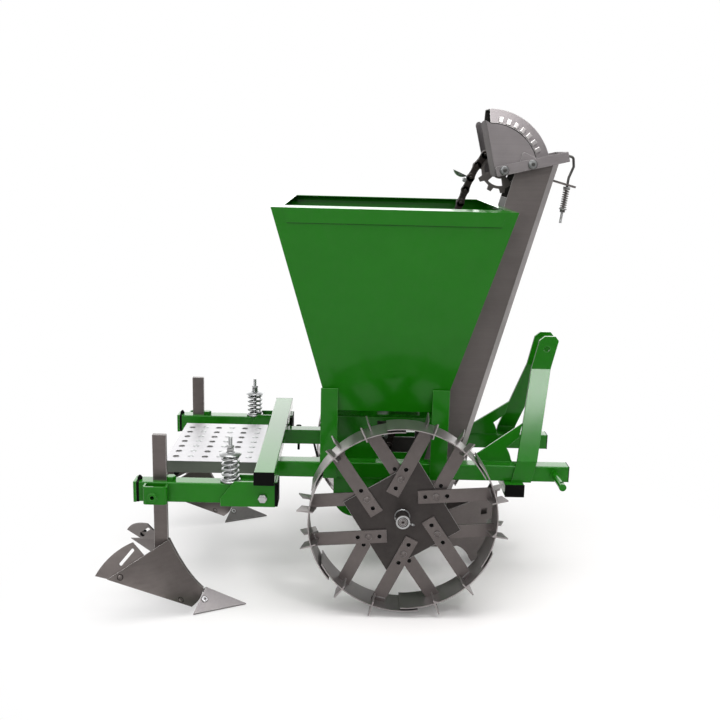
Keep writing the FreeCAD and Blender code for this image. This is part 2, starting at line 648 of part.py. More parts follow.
def cowl():
    """Curved cover over the chain with sloping sides, a revolved folded section."""
    body = new_body("head_cowl")
    sketch = sketch_on(body, "XY_Plane")
    t, inner, outer = size("sheet"), size("cowl_inner"), size("cowl_radius")
    wide, narrow = size("cheek_half"), size("cowl_half")
    draw_outline(sketch, [(inner, -wide), (outer, -narrow), (outer, narrow), (inner, wide),
                          (inner, wide - 2 * t), (outer - t, narrow - 1.2), (outer - t, 1.2 - narrow),
                          (inner, 2 * t - wide)])
    turned = body.newObject("PartDesign::Revolution", "cowl_turn")
    turned.Profile = sketch
    turned.ReferenceAxis = (sketch, ["V_Axis"])
    turned.Angle = 73.5
    body.Placement = FreeCAD.Placement(V(0, 0, size("head_z")), FreeCAD.Rotation(V(0, 1, 0), -91.0))
    return body


def yoke():
    """U-shaped flat bar that carries the upper sprocket's bolt and is pulled down at its nose."""
    high, thick, half, reach = size("yoke_high"), size("yoke_thick"), size("yoke_half"), size("yoke_reach")
    arms = []
    for side, sign in SIDES.items():
        tail, trim = -25.0, 5.0
        outline = [(tail + trim, -high / 2), (reach, -high / 2), (reach, high / 2), (tail + trim, high / 2),
                   (tail, high / 2 - trim), (tail, trim - high / 2)]
        holes = [((0, 0), 6.5, None), ((86, 0), 6.5, None)]
        arms.append(side_plate("yoke_arm_" + side, outline, "dims.yoke_thick", sign * (half + thick / 2), holes))
    nose = box("yoke_nose", (reach - thick, -half - thick, -high / 2), (reach, half + thick, high / 2))
    bar = fuse("tension_yoke", arms + [nose])
    bar.Placement = FreeCAD.Placement(V(0, 0, size("upper_z")), FreeCAD.Rotation(V(0, 1, 0), -size("yoke_slope")))
    return bar


def make_tension():
    """Hook rod from the yoke's nose down through a tab on the duct, with its spring below."""
    foot, lean = V(484, 0, 1139), math.radians(6.9)
    up = V(math.sin(lean), 0, math.cos(lean))
    straight = foot + up * 140
    points = [foot, straight, V(514, 0, 1312), V(511, 0, 1340), V(486, 0, 1347)]
    rod = tube_along("tension_hook", points, 4.0, 9.0)
    nut = cylinder("tension_nut", 8.0, 8, tuple(foot + up * 34), tuple(up))
    seat = cylinder("tension_seat", 12.0, 3, tuple(foot + up * 42), tuple(up))
    finish(fuse("tension_rod_nut", [rod, nut, seat]), "tension_rod")
    outer = cylinder("tension_coil", 10.5, 64, tuple(foot + up * 45.5), tuple(up))
    inner = cylinder("tension_coil_bore", 7.0, 80, tuple(foot + up * 40), tuple(up))
    finish(cut("tension_spring", outer, [inner]), "tension_spring")
    height, droop = 1270.0, math.degrees(math.atan(size("duct_slope")))
    tab = box("tension_strap", (1.0, -14, -3), (79, 14, 3))
    bore = cylinder("tension_tab_bore", 6.0, 20, (54.0, 0, -10), (0, 0, 1))
    bracket = cut("tension_tab_cut", tab, [bore])
    bracket.Placement = FreeCAD.Placement(V(0, 0, height), FreeCAD.Rotation(V(0, 1, 0), droop))
    finish(bracket, "tension_tab", " + %s" % round(duct_front(height), 1))


def tube_along(name, points, radius, bend):
    """Round bar along straight runs joined by arcs of one bend radius."""
    edges, here = [], points[0]
    for index in range(1, len(points) - 1):
        corner = points[index]
        before, after = (points[index - 1] - corner).normalize(), (points[index + 1] - corner).normalize()
        turn = math.pi - before.getAngle(after)
        reach = min(bend * math.tan(turn / 2), 0.45 * (points[index + 1] - corner).Length)
        start, end = corner + before * reach, corner + after * reach
        centre_way = (before + after).normalize()
        real = reach / math.tan(turn / 2)
        middle = corner + centre_way * (real / math.cos(turn / 2) - real)
        edges.append(Part.LineSegment(here, start).toShape())
        edges.append(Part.Arc(start, middle, end).toShape())
        here = end
    edges.append(Part.LineSegment(here, points[-1]).toShape())
    path = Part.Wire(edges)
    first = (points[1] - points[0]).normalize()
    profile = Part.Wire([Part.Circle(points[0], first, radius).toShape()])
    return solid(name, path.makePipeShell([profile], True, True))


# ---------------------------------------------------------------- furrow opener
def make_opener():
    """Shoe round the duct's foot: two sides that meet in a bow with a point below, open above and behind."""
    half, wall = size("opener_half"), size("opener_wall")
    profile = [(60, 180), (60, 73), (205, 77), ("arc", (229, 59), (248, 28)), (258, 12),
               ("arc", (318, 54), (337, 130)), (337, 252), (300, 242), (178, 208), (95, 187)]
    side_view = side_plate("opener_side_view", profile, "200 mm", 0.0)
    plan = [(40, -half), (190, -half), (337, -6), (337, 6), (190, half), (40, half)]
    bow = plate("opener_bow", "XY_Plane", plan, "600 mm", 200.0)
    hull = common("opener_hull", side_view, bow)
    inside = [(30, wall - half), (189, wall - half), (330, -4), (330, 4), (189, half - wall), (30, half - wall)]
    hollow = plate("opener_hollow", "XY_Plane", inside, "600 mm", 200.0)
    notch = box("opener_slot", (283, -80, 176), (304, 80, 197))
    web = box("opener_web", (262, -3, 120), (332, 3, 236))
    finish(fuse("furrow_opener", [cut("opener_sides", hull, [hollow, notch]), web]), "furrow_opener")


# ---------------------------------------------------------------- platform
def make_platform():
    back, front, half = size("step_back"), size("step_front"), size("step_half")
    top, skirt, t = size("step_top"), size("step_skirt"), size("sheet")
    outer = box("step_outer", (back, -half, top - skirt), (front, half, top))
    inner = box("step_inner", (back + t, t - half, top - skirt - 1), (front - t, half - t, top - t))
    body = new_body("step_punch")
    sketch = sketch_on(body, "XY_Plane", top)
    columns, rows, column_step, row_step, start, stagger = 6, 7, 45.0, 52.0, 28.0, 3.0
    for column in range(columns):
        for row in range(rows):
            x = back + start + column * column_step
            y = (row - (rows - 1) / 2) * row_step + (stagger if column % 2 else -stagger)
            draw_circle(sketch, (x, y), size("step_hole"), "dims.step_hole")
    pad(body, sketch, "20 mm")
    finish(cut("platform", outer, [inner, body]), "platform")


# ---------------------------------------------------------------- axle hangers
def make_hangers():
    """Two plates that hang from the main tubes and carry the axle in round bearing housings."""
    hangers = []
    bore = size("axle_radius") + size("bearing_clear")
    centre = (0.0, size("axle_z"))
    low_z = size("tube_top") - size("tube_side")
    for side, sign in SIDES.items():
        outline = [(-60, low_z), (-40, 290), ("arc", (0, 262), (40, 290)), (60, low_z)]
        y = sign * 167.0
        hanger = side_plate("hanger_plate_" + side, outline, "8 mm", y)
        housing = cylinder("hanger_housing_" + side, 32.0, 34.0, (centre[0], y - 17, centre[1]), (0, 1, 0))
        hole = cylinder("hanger_bore_" + side, bore, 60, (centre[0], y - 30, centre[1]), (0, 1, 0))
        blank = fuse("hanger_blank_" + side, [hanger, housing])
        hangers.append(cut("hanger_" + side, blank, [hole]))
    finish(group("axle_hangers", hangers), "axle_hangers")


# ---------------------------------------------------------------- ridger gangs
def make_ridgers():
    pieces = {name: [] for name in ("arm_brackets", "pivot_bolts", "spring_rods", "arm_springs", "shanks",
                                    "shank_clamps", "ridger_shares", "ridger_wings", "wing_extensions")}
    for side, sign in SIDES.items():
        y = sign * size("ridger_y")
        finish(ridger_arm(side, y), "ridger_arm_" + side)
        pieces["arm_brackets"].append(arm_bracket(side, y))
        pieces["pivot_bolts"].append(pivot_bolt(side, y))
        pieces["spring_rods"].append(spring_rod(side, y))
        pieces["arm_springs"].append(arm_spring(side, y))
        half, x = size("shank_wide") / 2, size("shank_x")
        thick = size("shank_thick") / 2
        pieces["shanks"].append(box("shank_" + side, (x - half, y - thick, size("shank_low")),
                                    (x + half, y + thick, size("shank_top"))))
        pieces["shank_clamps"].append(shank_clamp(side, y, sign))
        pieces["ridger_shares"].append(share(side, y))
        for hand in (-1, 1):
            tag = "%s_%s" % (side, "outer" if hand == sign else "inner")
            pieces["ridger_wings"].append(wing(tag, y, hand))
            pieces["wing_extensions"].append(wing_extension(tag, y, hand, 0.0 if hand == sign else 1.2))
    for name, items in pieces.items():
        finish(group(name, items), name)


def ridger_arm(side, y):
    middle = size("arm_low") + size("arm_high") / 2
    tube = hollow_tube("arm_tube_" + side, "YZ_Plane", size("arm_back"), "dims.arm_front - dims.arm_back",
                       (y, middle), "arm_wide", "arm_high", "arm_wall")
    gap = 0.3
    half, thick, x = size("shank_wide") / 2 + gap, size("shank_thick") / 2 + gap, size("shank_x")
    slot = box("arm_slot_" + side, (x - half, y - thick, 300), (x + half, y + thick, 450))
    bolt = cylinder("arm_bore_" + side, size("pivot_radius") + 0.2, 80, (size("pivot_x"), y - 40, size("pivot_z")),
                    (0, 1, 0))
    rod = cylinder("arm_rod_bore_" + side, size("rod_radius") + 2.0, 160, (size("spring_x"), y, 300), (0, 0, 1))
    return cut("ridger_arm_" + side, tube, [slot, bolt, rod])


def arm_bracket(side, y):
    """Two cheeks welded under the rear beam's end and the plate that joins their fronts."""
    top = size("tube_top")
    outline = [(-530, 327), (-371, 327), (-371, top), (-490, top), (-530, 352)]
    spacing = size("arm_wide") / 2 + size("cheek_thick") / 2 + 1.0
    bore = ((size("pivot_x"), size("pivot_z")), size("pivot_radius") + 0.2, None)
    cheeks = [side_plate("bracket_%s_%d" % (side, hand), outline, "dims.cheek_thick", y + hand * spacing, [bore])
              for hand in (-1, 1)]
    front = box("bracket_front_" + side, (-371.5, y - spacing, 327), (-365.5, y + spacing, top))
    return fuse("arm_bracket_" + side, cheeks + [front])


def pivot_bolt(side, y):
    reach = size("arm_wide") / 2 + 1.0 + size("cheek_thick")
    x, z = size("pivot_x"), size("pivot_z")
    shaft = cylinder("bolt_shaft_" + side, size("pivot_radius"), 2 * reach + 26, (x, y - reach - 13, z), (0, 1, 0))
    heads = []
    for hand in (-1, 1):
        prism = doc.addObject("Part::Prism", "bolt_head_%s_%s" % (side, "out" if hand > 0 else "in"))
        prism.Polygon, prism.Circumradius, prism.Height = 6, 13.5, 10.0
        start = y + (reach if hand > 0 else -reach - 10)
        prism.Placement = FreeCAD.Placement(V(x, start, z), FreeCAD.Rotation(V(0, 0, 1), V(0, 1, 0)))
        heads.append(prism)
    return fuse("pivot_bolt_" + side, [shaft] + heads)


def spring_rod(side, y):
    """Rod that rises through the arm, with its dished washer and two lock nuts."""
    x, top, washer = size("spring_x"), size("rod_top"), size("washer_z")
    rod = cylinder("rod_%s" % side, size("rod_radius"), top - 322, (x, y, 322), (0, 0, 1), "dims.rod_radius")
    plate_item = cylinder("washer_%s" % side, size("spring_radius") + 3, 6, (x, y, washer - 6), (0, 0, 1))
    nuts = cylinder("nuts_%s" % side, 12.0, 24, (x, y, washer), (0, 0, 1))
    foot = cylinder("foot_%s" % side, 12.0, 8, (x, y, 324), (0, 0, 1))
    return fuse("spring_rod_" + side, [rod, plate_item, nuts, foot])


def arm_spring(side, y):
    top_of_arm = size("arm_low") + size("arm_high")
    low, high = top_of_arm + 0.5, size("washer_z") - 6.3
    outer = cylinder("coil_" + side, size("spring_radius"), high - low, (size("spring_x"), y, low), (0, 0, 1))
    inner = cylinder("coil_bore_" + side, size("spring_inner"), 200, (size("spring_x"), y, low - 20), (0, 0, 1))
    return cut("arm_spring_" + side, outer, [inner])


def shank_clamp(side, y, sign):
    """U-shaped strap on the arm's outer face with a threaded boss for the shank's set bolt."""
    face = y + sign * size("arm_wide") / 2
    x0, x1, z0, z1, deep, wall = -749.0, -680.0, 337.0, 391.0, 34.0, 6.0
    outer = box("strap_" + side, (x0, min(face, face + sign * deep), z0), (x1, max(face, face + sign * deep), z1))
    hollow = box("strap_gap_" + side, (x0 + wall, min(face, face + sign * (deep - wall)), z0 - 1),
                 (x1 - wall, max(face, face + sign * (deep - wall)), z1 + 1))
    boss = cylinder("strap_boss_" + side, 13.0, deep + 5.0, (-721, face + sign * 1.0, 359), (0, sign, 0))
    bore = cylinder("strap_bore_" + side, 6.0, 2 * deep, (-721, face - sign * 5, 359), (0, sign, 0))
    return cut("shank_clamp_" + side, fuse("strap_blank_" + side, [cut("strap_u_" + side, outer, [hollow]), boss]),
               [bore])


def facet(points, push):
    return Part.Face(Part.makePolygon([V(*p) for p in points] + [V(*points[0])])).extrude(V(*push))


def share(side, y):
    """Pointed share: two facets that meet in a ridge, plates of even thickness."""
    tip, ridge = (-459, y, 1.0), (-580, y, 52)
    halves = []
    for hand in (-1, 1):
        corner = (-606, y + hand * 76, 2.5)
        push = (-0.5, 0.0, -size("share_thick"))
        lifted = [tuple(c + (size("share_thick") if k == 2 else 0) for k, c in enumerate(p))
                  for p in (tip, ridge, corner)]
        halves.append(facet(lifted, push))
    return solid("share_" + side, halves[0].fuse(halves[1]))


def wing_surface(y, hand):
    """Curved mouldboard between its rising front edge and its bottom edge."""
    def front(s):
        x = -587 - 99 * s
        z = 55 + 154 * (0.55 * s + 0.45 * s * s)
        return V(x, y + hand * (5 + 4 * s), z)

    def rear(s):
        return V(-610 - 225 * s, y + hand * (74 + 74 * s), 28 + 117 * s)

    rows = []
    for i in range(5):
        s = i / 4.0
        a, b = front(s), rear(s)
        row = []
        for j in range(5):
            u = j / 4.0
            point = a * (1 - u) + b * u
            hollow = 16.0 * math.sin(math.pi * u) * (1 - s) ** 2
            row.append(point + V(hollow * 0.3, -hand * hollow * 0.7, -hollow * 0.6))
        rows.append(row)
    surface = Part.BSplineSurface()
    surface.interpolate(rows)
    return surface


def wing(tag, y, hand):
    face = wing_surface(y, hand).toShape()
    return solid("wing_" + tag, face.extrude(V(0, -hand * size("wing_thick"), 0)))


def wing_extension(tag, y, hand, slide):
    """Adjustable rear plate under the wing, with a curved outer edge and a slot that it slides along."""
    def at(x, lateral, z):
        return V(x, y + hand * lateral, z)

    tip, bulge, top = at(-866, 153.7, 158.4), at(-835, 106.8, 195.3), at(-781, 53.7, 219.1)
    under, foot, keel = at(-752.1, 57.4, 185.5), at(-734, 62, 168), at(-823.4, 137.7, 139.5)
    normal = (top - tip).cross(keel - tip).normalize()
    if normal.y * hand > 0:
        normal = normal * -1
    corners = [p - normal * (p - tip).dot(normal) for p in (top, under, foot, keel, tip)]
    edges = [Part.LineSegment(corners[k], corners[k + 1]).toShape() for k in range(4)]
    bulge = bulge - normal * (bulge - tip).dot(normal)
    edges.append(Part.Arc(corners[4], bulge, corners[0]).toShape())
    blank = Part.Face(Part.Wire(edges)).extrude(normal * size("wing_thick"))
    ends = [at(-779, 65.8, 199.6), at(-805, 102.6, 172.5)]
    across = (ends[1] - ends[0]).cross(normal).normalize() * 4.5
    corners = [ends[0] + across, ends[1] + across, ends[1] - across, ends[0] - across]
    slot = facet([tuple(p - normal * 5) for p in corners], tuple(normal * 14))
    for end in ends:
        slot = slot.fuse(Part.makeCylinder(4.5, 14, end - normal * 5, normal))
    plate_shape = blank.cut(slot)
    plate_shape.translate((ends[0] - ends[1]) * slide)
    return solid("wing_extension_" + tag, plate_shape)


# ---------------------------------------------------------------- wheels
def make_wheels():
    for side, sign in SIDES.items():
        centre_y = sign * size("wheel_y")
        finish(wheel_rim(side, centre_y), "wheel_rim_" + side)
        finish(wheel_hub(side, centre_y), "wheel_hub_" + side)
        finish(wheel_spokes(side, centre_y), "wheel_spokes_" + side)
    length = 2 * size("axle_half")
    axle = cylinder("wheel_axle", size("axle_radius"), length, (0, -size("axle_half"), size("axle_z")), (0, 1, 0),
                    "dims.axle_radius")
    finish(axle, "wheel_axle")


def strip_centre(side, index):
    """Each strip's circle is set off sideways from the axle, so that its ends lap over and under the next ones."""
    middle = 60.0 * index + size("wheel_turn")
    return middle, polar((0.0, size("axle_z")), size("rim_shift"), middle - SIDES[side] * 90.0)


def wheel_rim(side, centre_y):
    """Six curved strips, each lapping outside the next one's start, with blades through both edges."""
    radius, thick, reach = size("rim_radius"), size("rim_thick"), size("rim_reach")
    segments = []
    for index in range(6):
        middle, centre = strip_centre(side, index)
        start, end = middle - reach, middle + reach
        outline = [polar(centre, radius - thick, start), polar(centre, radius, start),
                   ("arc", polar(centre, radius, middle), polar(centre, radius, end)),
                   polar(centre, radius - thick, end),
                   ("arc", polar(centre, radius - thick, middle), polar(centre, radius - thick, start))]
        strip = side_plate("strip_%s_%d" % (side, index), outline, "dims.rim_wide", centre_y)
        blades = []
        for spread in (-1, 1):
            for edge in (-1, 1):
                name = "blade_%s_%d_%d_%d" % (side, index, spread, edge)
                swing = 2.5 * math.sin(1.7 * index - 2.6)
                angle = middle + spread * size("lug_spread") + edge * SIDES[side] * swing
                askew = 4.0 * math.sin(5.0 * index + 2.0 * spread + edge)
                blades.append(wheel_blade(name, centre_y, angle, edge, askew))
        segments.append(fuse("rim_segment_%s_%d" % (side, index), [strip] + blades))
    return group("wheel_rim_" + side, segments)


def wheel_blade(name, centre_y, degrees, edge, askew):
    """A slant-ended blade at one edge of the rim, a little askew, as it was bent by hand."""
    near, far, tip, root = size("lug_inner"), size("lug_outer"), size("lug_tip"), size("lug_root")
    outline = [(root, edge * near), (root + 10.0, edge * far), (tip, edge * far), (tip - 13.0, edge * near)]
    blade = plate(name, "XY_Plane", outline, "4 mm")
    twist = FreeCAD.Placement(V(0, 0, 0), FreeCAD.Rotation(V(1, 0, 0), askew), V(0, edge * (near + far) / 2, 0))
    place = FreeCAD.Placement(V(0, centre_y, size("axle_z")), FreeCAD.Rotation(V(0, 1, 0), -degrees))
    blade.Placement = place.multiply(twist)
    return blade


def wheel_hub(side, centre_y):
    """Square hub plate with its boss, bored for the axle."""
    sign, axle = SIDES[side], (0.0, size("axle_z"))
    half = size("hub_side") / 2
    tilt = size("wheel_turn") - sign * size("hub_turn")
    outline = [polar(axle, half * math.sqrt(2), tilt + 45 + 90 * k) for k in range(4)]
    holes = [(axle, size("axle_radius"), "dims.axle_radius")]
    disc = side_plate("hub_plate_" + side, outline, "dims.hub_thick", centre_y, holes)
    start = centre_y - sign * 24.0
    boss = cylinder("hub_boss_" + side, size("boss_radius"), size("boss_length"), (0, start, axle[1]), (0, sign, 0))
    bore = cylinder("hub_bore_" + side, size("axle_radius"), 200, (0, start - sign * 60, axle[1]), (0, sign, 0),
                    "dims.axle_radius")
    return cut("wheel_hub_" + side, fuse("hub_blank_" + side, [disc, boss]), [bore])


def wheel_spokes(side, centre_y):
    """Six flat bars on each face of the hub plate, offset to opposite sides of the centre."""
    sign, axle = SIDES[side], (0.0, size("axle_z"))
    wide, thick, offset, inner = size("spoke_wide"), size("spoke_thick"), size("spoke_offset"), size("spoke_start")
    reach = size("rim_radius") - size("rim_thick") - 0.2
    bars = []
    for layer in (1, -1):
        y = centre_y + sign * layer * (size("hub_thick") / 2 + thick / 2)
        middle = -layer * sign * offset
        for index in range(6):
            direction, ring = strip_centre(side, index)
            ring = turned((0.0, 0.0), ring[0] - axle[0], ring[1] - axle[1], -direction)
            ends = [turned(axle, ring[0] + math.sqrt(reach ** 2 - (across - ring[1]) ** 2), across, direction)
                    for across in (middle - wide / 2, middle, middle + wide / 2)]
            corners = [turned(axle, inner, middle - wide / 2, direction), ends[0], ("arc", ends[1], ends[2]),
                       turned(axle, inner, middle + wide / 2, direction)]
            holes = [(turned(axle, along, middle, direction), size("spoke_hole"), None) for along in (69.0, 133.0)]
            name = "spoke_%s_%d_%d" % (side, layer + 1, index)
            bars.append(side_plate(name, corners, "dims.spoke_thick", y, holes))
    return group("wheel_spokes_" + side, bars)


def turned(centre, along, across, degrees):
    a = math.radians(degrees)
    return (centre[0] + along * math.cos(a) - across * math.sin(a),
            centre[1] + along * math.sin(a) + across * math.cos(a))


# ---------------------------------------------------------------- build, test and write
for build in (make_frame, make_tower, make_hopper, make_posts, make_boot, make_duct, make_chain, make_head,
              make_tension, make_opener, make_platform, make_hangers, make_ridgers, make_wheels):
    build()
doc.recompute()

for item in doc.Objects:
    faults = [state for state in item.State if state in ("Invalid", "Error")]
    if faults:
        raise RuntimeError("%s failed: %s" % (item.Name, faults))
for part in SUBPARTS:
    if part.Shape.isNull() or not part.Shape.isValid():
        raise RuntimeError(part.Label + " has no valid shape")

os.makedirs("parts", exist_ok=True)
overall = FreeCAD.BoundBox()
for part in SUBPARTS:
    part.Shape.exportStep("parts/%s.step" % part.Label)
    overall.add(part.Shape.BoundBox)
    print("%-22s solids %2d  volume %9.1f cm3" % (part.Label, len(part.Shape.Solids), part.Shape.Volume / 1000))
print(len(SUBPARTS), "sub-parts;", overall)
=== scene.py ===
import json
import math
import bmesh
import bpy
from mathutils import Matrix, Vector
from mathutils.bvhtree import BVHTree


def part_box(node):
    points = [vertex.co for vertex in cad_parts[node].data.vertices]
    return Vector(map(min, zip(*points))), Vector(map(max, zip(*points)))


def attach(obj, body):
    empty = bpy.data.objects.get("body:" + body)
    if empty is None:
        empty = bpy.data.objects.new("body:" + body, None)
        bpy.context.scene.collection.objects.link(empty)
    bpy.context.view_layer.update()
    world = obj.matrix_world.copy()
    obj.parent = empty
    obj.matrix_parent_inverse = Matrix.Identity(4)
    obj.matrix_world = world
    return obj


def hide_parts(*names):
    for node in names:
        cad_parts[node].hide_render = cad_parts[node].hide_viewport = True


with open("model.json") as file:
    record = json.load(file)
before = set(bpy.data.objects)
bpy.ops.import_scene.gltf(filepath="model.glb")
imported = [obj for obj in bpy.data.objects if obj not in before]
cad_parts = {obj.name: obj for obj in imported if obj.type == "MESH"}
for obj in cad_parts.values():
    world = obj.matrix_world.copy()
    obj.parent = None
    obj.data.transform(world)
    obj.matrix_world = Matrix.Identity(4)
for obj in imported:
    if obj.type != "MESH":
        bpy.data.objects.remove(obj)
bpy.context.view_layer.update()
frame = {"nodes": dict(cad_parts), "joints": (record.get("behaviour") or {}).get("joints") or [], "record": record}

MM = 0.001
TAU = 2 * math.pi
AXLE = Vector(frame["joints"][0]["pos_m"])
SIDES = {"right": -1, "left": 1}
UP = Vector((0, 0, 1))

# the camera: its turns in radians, its lens in millimetres and its place from the axle
CAMERA_PITCH, CAMERA_YAW, CAMERA_ROLL = 0.2191, 0.01286, 0.02543
CAMERA_LENS, CAMERA_BACK, CAMERA_ASIDE, CAMERA_HIGH = 46.915, 0.1684, -2.952, 1.343

# the wheels: middle plane of each, first spoke's turn, and a spoke's offset from the centre
WHEEL_Y, SPOKE_TURN, SPOKE_OFFSET = 0.366, 4, 0.058


# ------------------------------------------------------------------ camera, light and floor
def place_camera():
    pitch, yaw, roll = CAMERA_PITCH, CAMERA_YAW, CAMERA_ROLL
    ahead = Vector((math.sin(yaw) * math.cos(pitch), math.cos(yaw) * math.cos(pitch), -math.sin(pitch)))
    level = Vector((math.cos(yaw), -math.sin(yaw), 0))
    above = level.cross(ahead)
    across = level * math.cos(roll) + above * math.sin(roll)
    upward = above * math.cos(roll) - level * math.sin(roll)
    turn = Matrix((across, upward, -ahead)).transposed().to_4x4()
    data = bpy.data.cameras.new("studio_camera")
    data.sensor_width = 36.0
    data.lens = CAMERA_LENS
    camera = bpy.data.objects.new("studio_camera", data)
    camera.matrix_world = Matrix.Translation((AXLE.x - CAMERA_BACK, CAMERA_ASIDE, CAMERA_HIGH)) @ turn
    bpy.context.collection.objects.link(camera)
    bpy.context.scene.camera = camera


def soft_box(name, place, aim, wide, high, watts):
    data = bpy.data.lights.new(name, "AREA")
    data.shape = "RECTANGLE"
    data.size, data.size_y = wide, high
    data.energy = watts
    lamp = bpy.data.objects.new(name, data)
    lamp.location = place
    lamp.rotation_euler = (Vector(aim) - Vector(place)).to_track_quat("-Z", "Y").to_euler()
    bpy.context.collection.objects.link(lamp)


def ray_is(tree, *kinds):
    """1 for the kinds of ray named, so that the white studio shows in the picture, in metal and in glass."""
    rays = tree.nodes.new("ShaderNodeLightPath")
    result = rays.outputs["Is %s Ray" % kinds[0]]
    for kind in kinds[1:]:
        result = maths(tree, "MAXIMUM", result, rays.outputs["Is %s Ray" % kind])
    return result


def light_studio():
    """Even soft light from above; the walls are white but for the dim end that the camera looks from."""
    world = bpy.data.worlds.new("studio_white")
    bpy.context.scene.world = world
    world.use_nodes = True
    tree = world.node_tree
    tree.nodes.clear()
    out = tree.nodes.new("ShaderNodeOutputWorld")
    way = node(tree, "ShaderNodeSeparateXYZ", Vector=tree.nodes.new("ShaderNodeTexCoord").outputs["Generated"])
    bright = maths(tree, "MULTIPLY_ADD", way.outputs["Y"], 1.2, 0.75, clamp=True)
    bright = maths(tree, "MAXIMUM", bright, maths(tree, "MULTIPLY_ADD", way.outputs["Z"], 4.0, -0.3, clamp=True))
    glossy = maths(tree, "MULTIPLY_ADD", bright, 0.9, 0.1, clamp=True)
    seen = maths(tree, "MAXIMUM", glossy, ray_is(tree, "Camera"))
    lit = node(tree, "ShaderNodeBackground", Color=(1, 1, 1, 1), Strength=0.4)
    shown = node(tree, "ShaderNodeBackground", Color=(1, 1, 1, 1), Strength=seen)
    mix = node(tree, "ShaderNodeMixShader", i0=ray_is(tree, "Camera", "Glossy", "Transmission"),
               i1=lit.outputs[0], i2=shown.outputs[0])
    tree.links.new(mix.outputs[0], out.inputs["Surface"])
    soft_box("overhead_box", (0.1, -0.6, 3.6), (0, 0, 0.4), 3.2, 2.2, 120)
    soft_box("front_box", (-1.2, -3.6, 2.0), (0, 0, 0.5), 2.6, 1.6, 36)
    soft_box("key_box", (1.38, -2.5, 3.55), (0.6, -0.1, 0.62), 0.62, 0.52, 34)
    soft_box("back_box", (0.1, 3.3, 1.6), (0, 0, 0.6), 6.4, 2.2, 72)


def lay_floor():
    """A pale floor that goes over to plain white away from the machine and keeps its soft shadow beneath."""
    mesh = bmesh.new()
    bmesh.ops.create_grid(mesh, x_segments=1, y_segments=1, size=14)
    floor = as_object(mesh, "studio_floor")
    material, tree, shader = new_material("pale_floor")
    dress(tree, shader, Base_Color=(0.84, 0.82, 0.815, 1), Roughness=0.8, Specular_IOR_Level=0.1)
    place = node(tree, "ShaderNodeTexCoord")
    away = node(tree, "ShaderNodeVectorMath", {"operation": "DISTANCE"}, i0=place.outputs["Object"],
                i1=(0.25, -0.1, 0)).outputs["Value"]
    clear = maths(tree, "MULTIPLY_ADD", away, 0.95, -0.25, clamp=True)
    clear = maths(tree, "MULTIPLY_ADD", clear, 0.92, 0.08, clamp=True)
    share = maths(tree, "MULTIPLY", clear, ray_is(tree, "Camera", "Transmission"))
    white = node(tree, "ShaderNodeEmission", Color=(1, 1, 1, 1), Strength=1.0)
    mix = node(tree, "ShaderNodeMixShader", i0=share, i1=shader.outputs[0], i2=white.outputs[0])
    out = [item for item in tree.nodes if item.type == "OUTPUT_MATERIAL"][0]
    tree.links.new(mix.outputs[0], out.inputs["Surface"])
    floor.data.materials.append(material)


# ------------------------------------------------------------------ mesh helpers
def as_object(mesh, name):
    data = bpy.data.meshes.new(name)
    mesh.to_mesh(data)
    mesh.free()
    piece = bpy.data.objects.new(name, data)
    bpy.context.collection.objects.link(piece)
    return piece


def mark_smooth(mesh, angle=38.0):
    """Smooth shading with creases kept where two faces meet at more than the angle."""
    for face in mesh.faces:
        face.smooth = True
    for edge in mesh.edges:
        if len(edge.link_faces) != 2 or edge.calc_face_angle(0) > math.radians(angle):
            edge.smooth = False


def bevel(mesh, edges, width, segments, slide=True):
    """Rounds some edges and gives back the faces made."""
    if not edges:
        return []
    return bmesh.ops.bevel(mesh, geom=edges, offset=width, offset_type="OFFSET", segments=segments, profile=0.5,
                           affect="EDGES", clamp_overlap=True, loop_slide=slide, material=-1)["faces"]


def round_edges(mesh, width, segments=2, angle=40.0):
    """Bevels every crease and marks the new faces for the wear and the painted highlight that edges get."""
    worn_and_lit_edge = mesh.faces.layers.float.get("worn_and_lit_edge") or mesh.faces.layers.float.new("worn_and_lit_edge")
    creases = [edge for edge in mesh.edges
               if len(edge.link_faces) == 2 and edge.calc_face_angle(0) > math.radians(angle)]
    for face in bevel(mesh, creases, width, segments):
        face[worn_and_lit_edge] = 1.0


def new_verts(made):
    return [item for item in made["geom"] if isinstance(item, bmesh.types.BMVert)]


def new_edges(made, key="geom"):
    return [item for item in made[key] if isinstance(item, bmesh.types.BMEdge)]


def closed(part, fill=False):
    """Caps open ends if asked, turns every face outward and adds the wear layer."""
    if fill:
        bmesh.ops.holes_fill(part, edges=[e for e in part.edges if e.is_boundary], sides=0)
    bmesh.ops.recalc_face_normals(part, faces=part.faces)
    part.faces.layers.float.new("worn_and_lit_edge")
    return part


def rod(radius, length, segments):
    """A plain round bar along Z with its middle at the origin."""
    part = bmesh.new()
    bmesh.ops.create_cone(part, cap_ends=True, segments=segments, radius1=radius, radius2=radius, depth=length)
    return part


def welded(name):
    """A node's own triangles, joined where their corners meet."""
    mesh = bmesh.new()
    mesh.from_mesh(frame["nodes"][name].data)
    bmesh.ops.remove_doubles(mesh, verts=mesh.verts, dist=2e-6)
    return mesh


def copy_of(name):
    """A node's welded mesh with its flat regions made into single faces."""
    mesh = welded(name)
    bmesh.ops.dissolve_limit(mesh, angle_limit=math.radians(0.6), verts=mesh.verts, edges=mesh.edges)
    return mesh


SLOT_OF = {part["node"]: part["material_slot"] for part in frame["record"]["subparts"]}


def finished(mesh, name, material, body="frame", slot=None, replaces=(), crease=38.0):
    """Turns a bmesh into a piece that rides on a body, with its finish."""
    mark_smooth(mesh, crease)
    piece = as_object(mesh, name)
    piece.data.materials.append(material)
    weighed = piece.modifiers.new("flat_faces_first", "WEIGHTED_NORMAL")
    weighed.keep_sharp = True
    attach(piece, body)
    if replaces:
        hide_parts(*replaces)
        slot = slot or SLOT_OF[replaces[0]]
    return piece


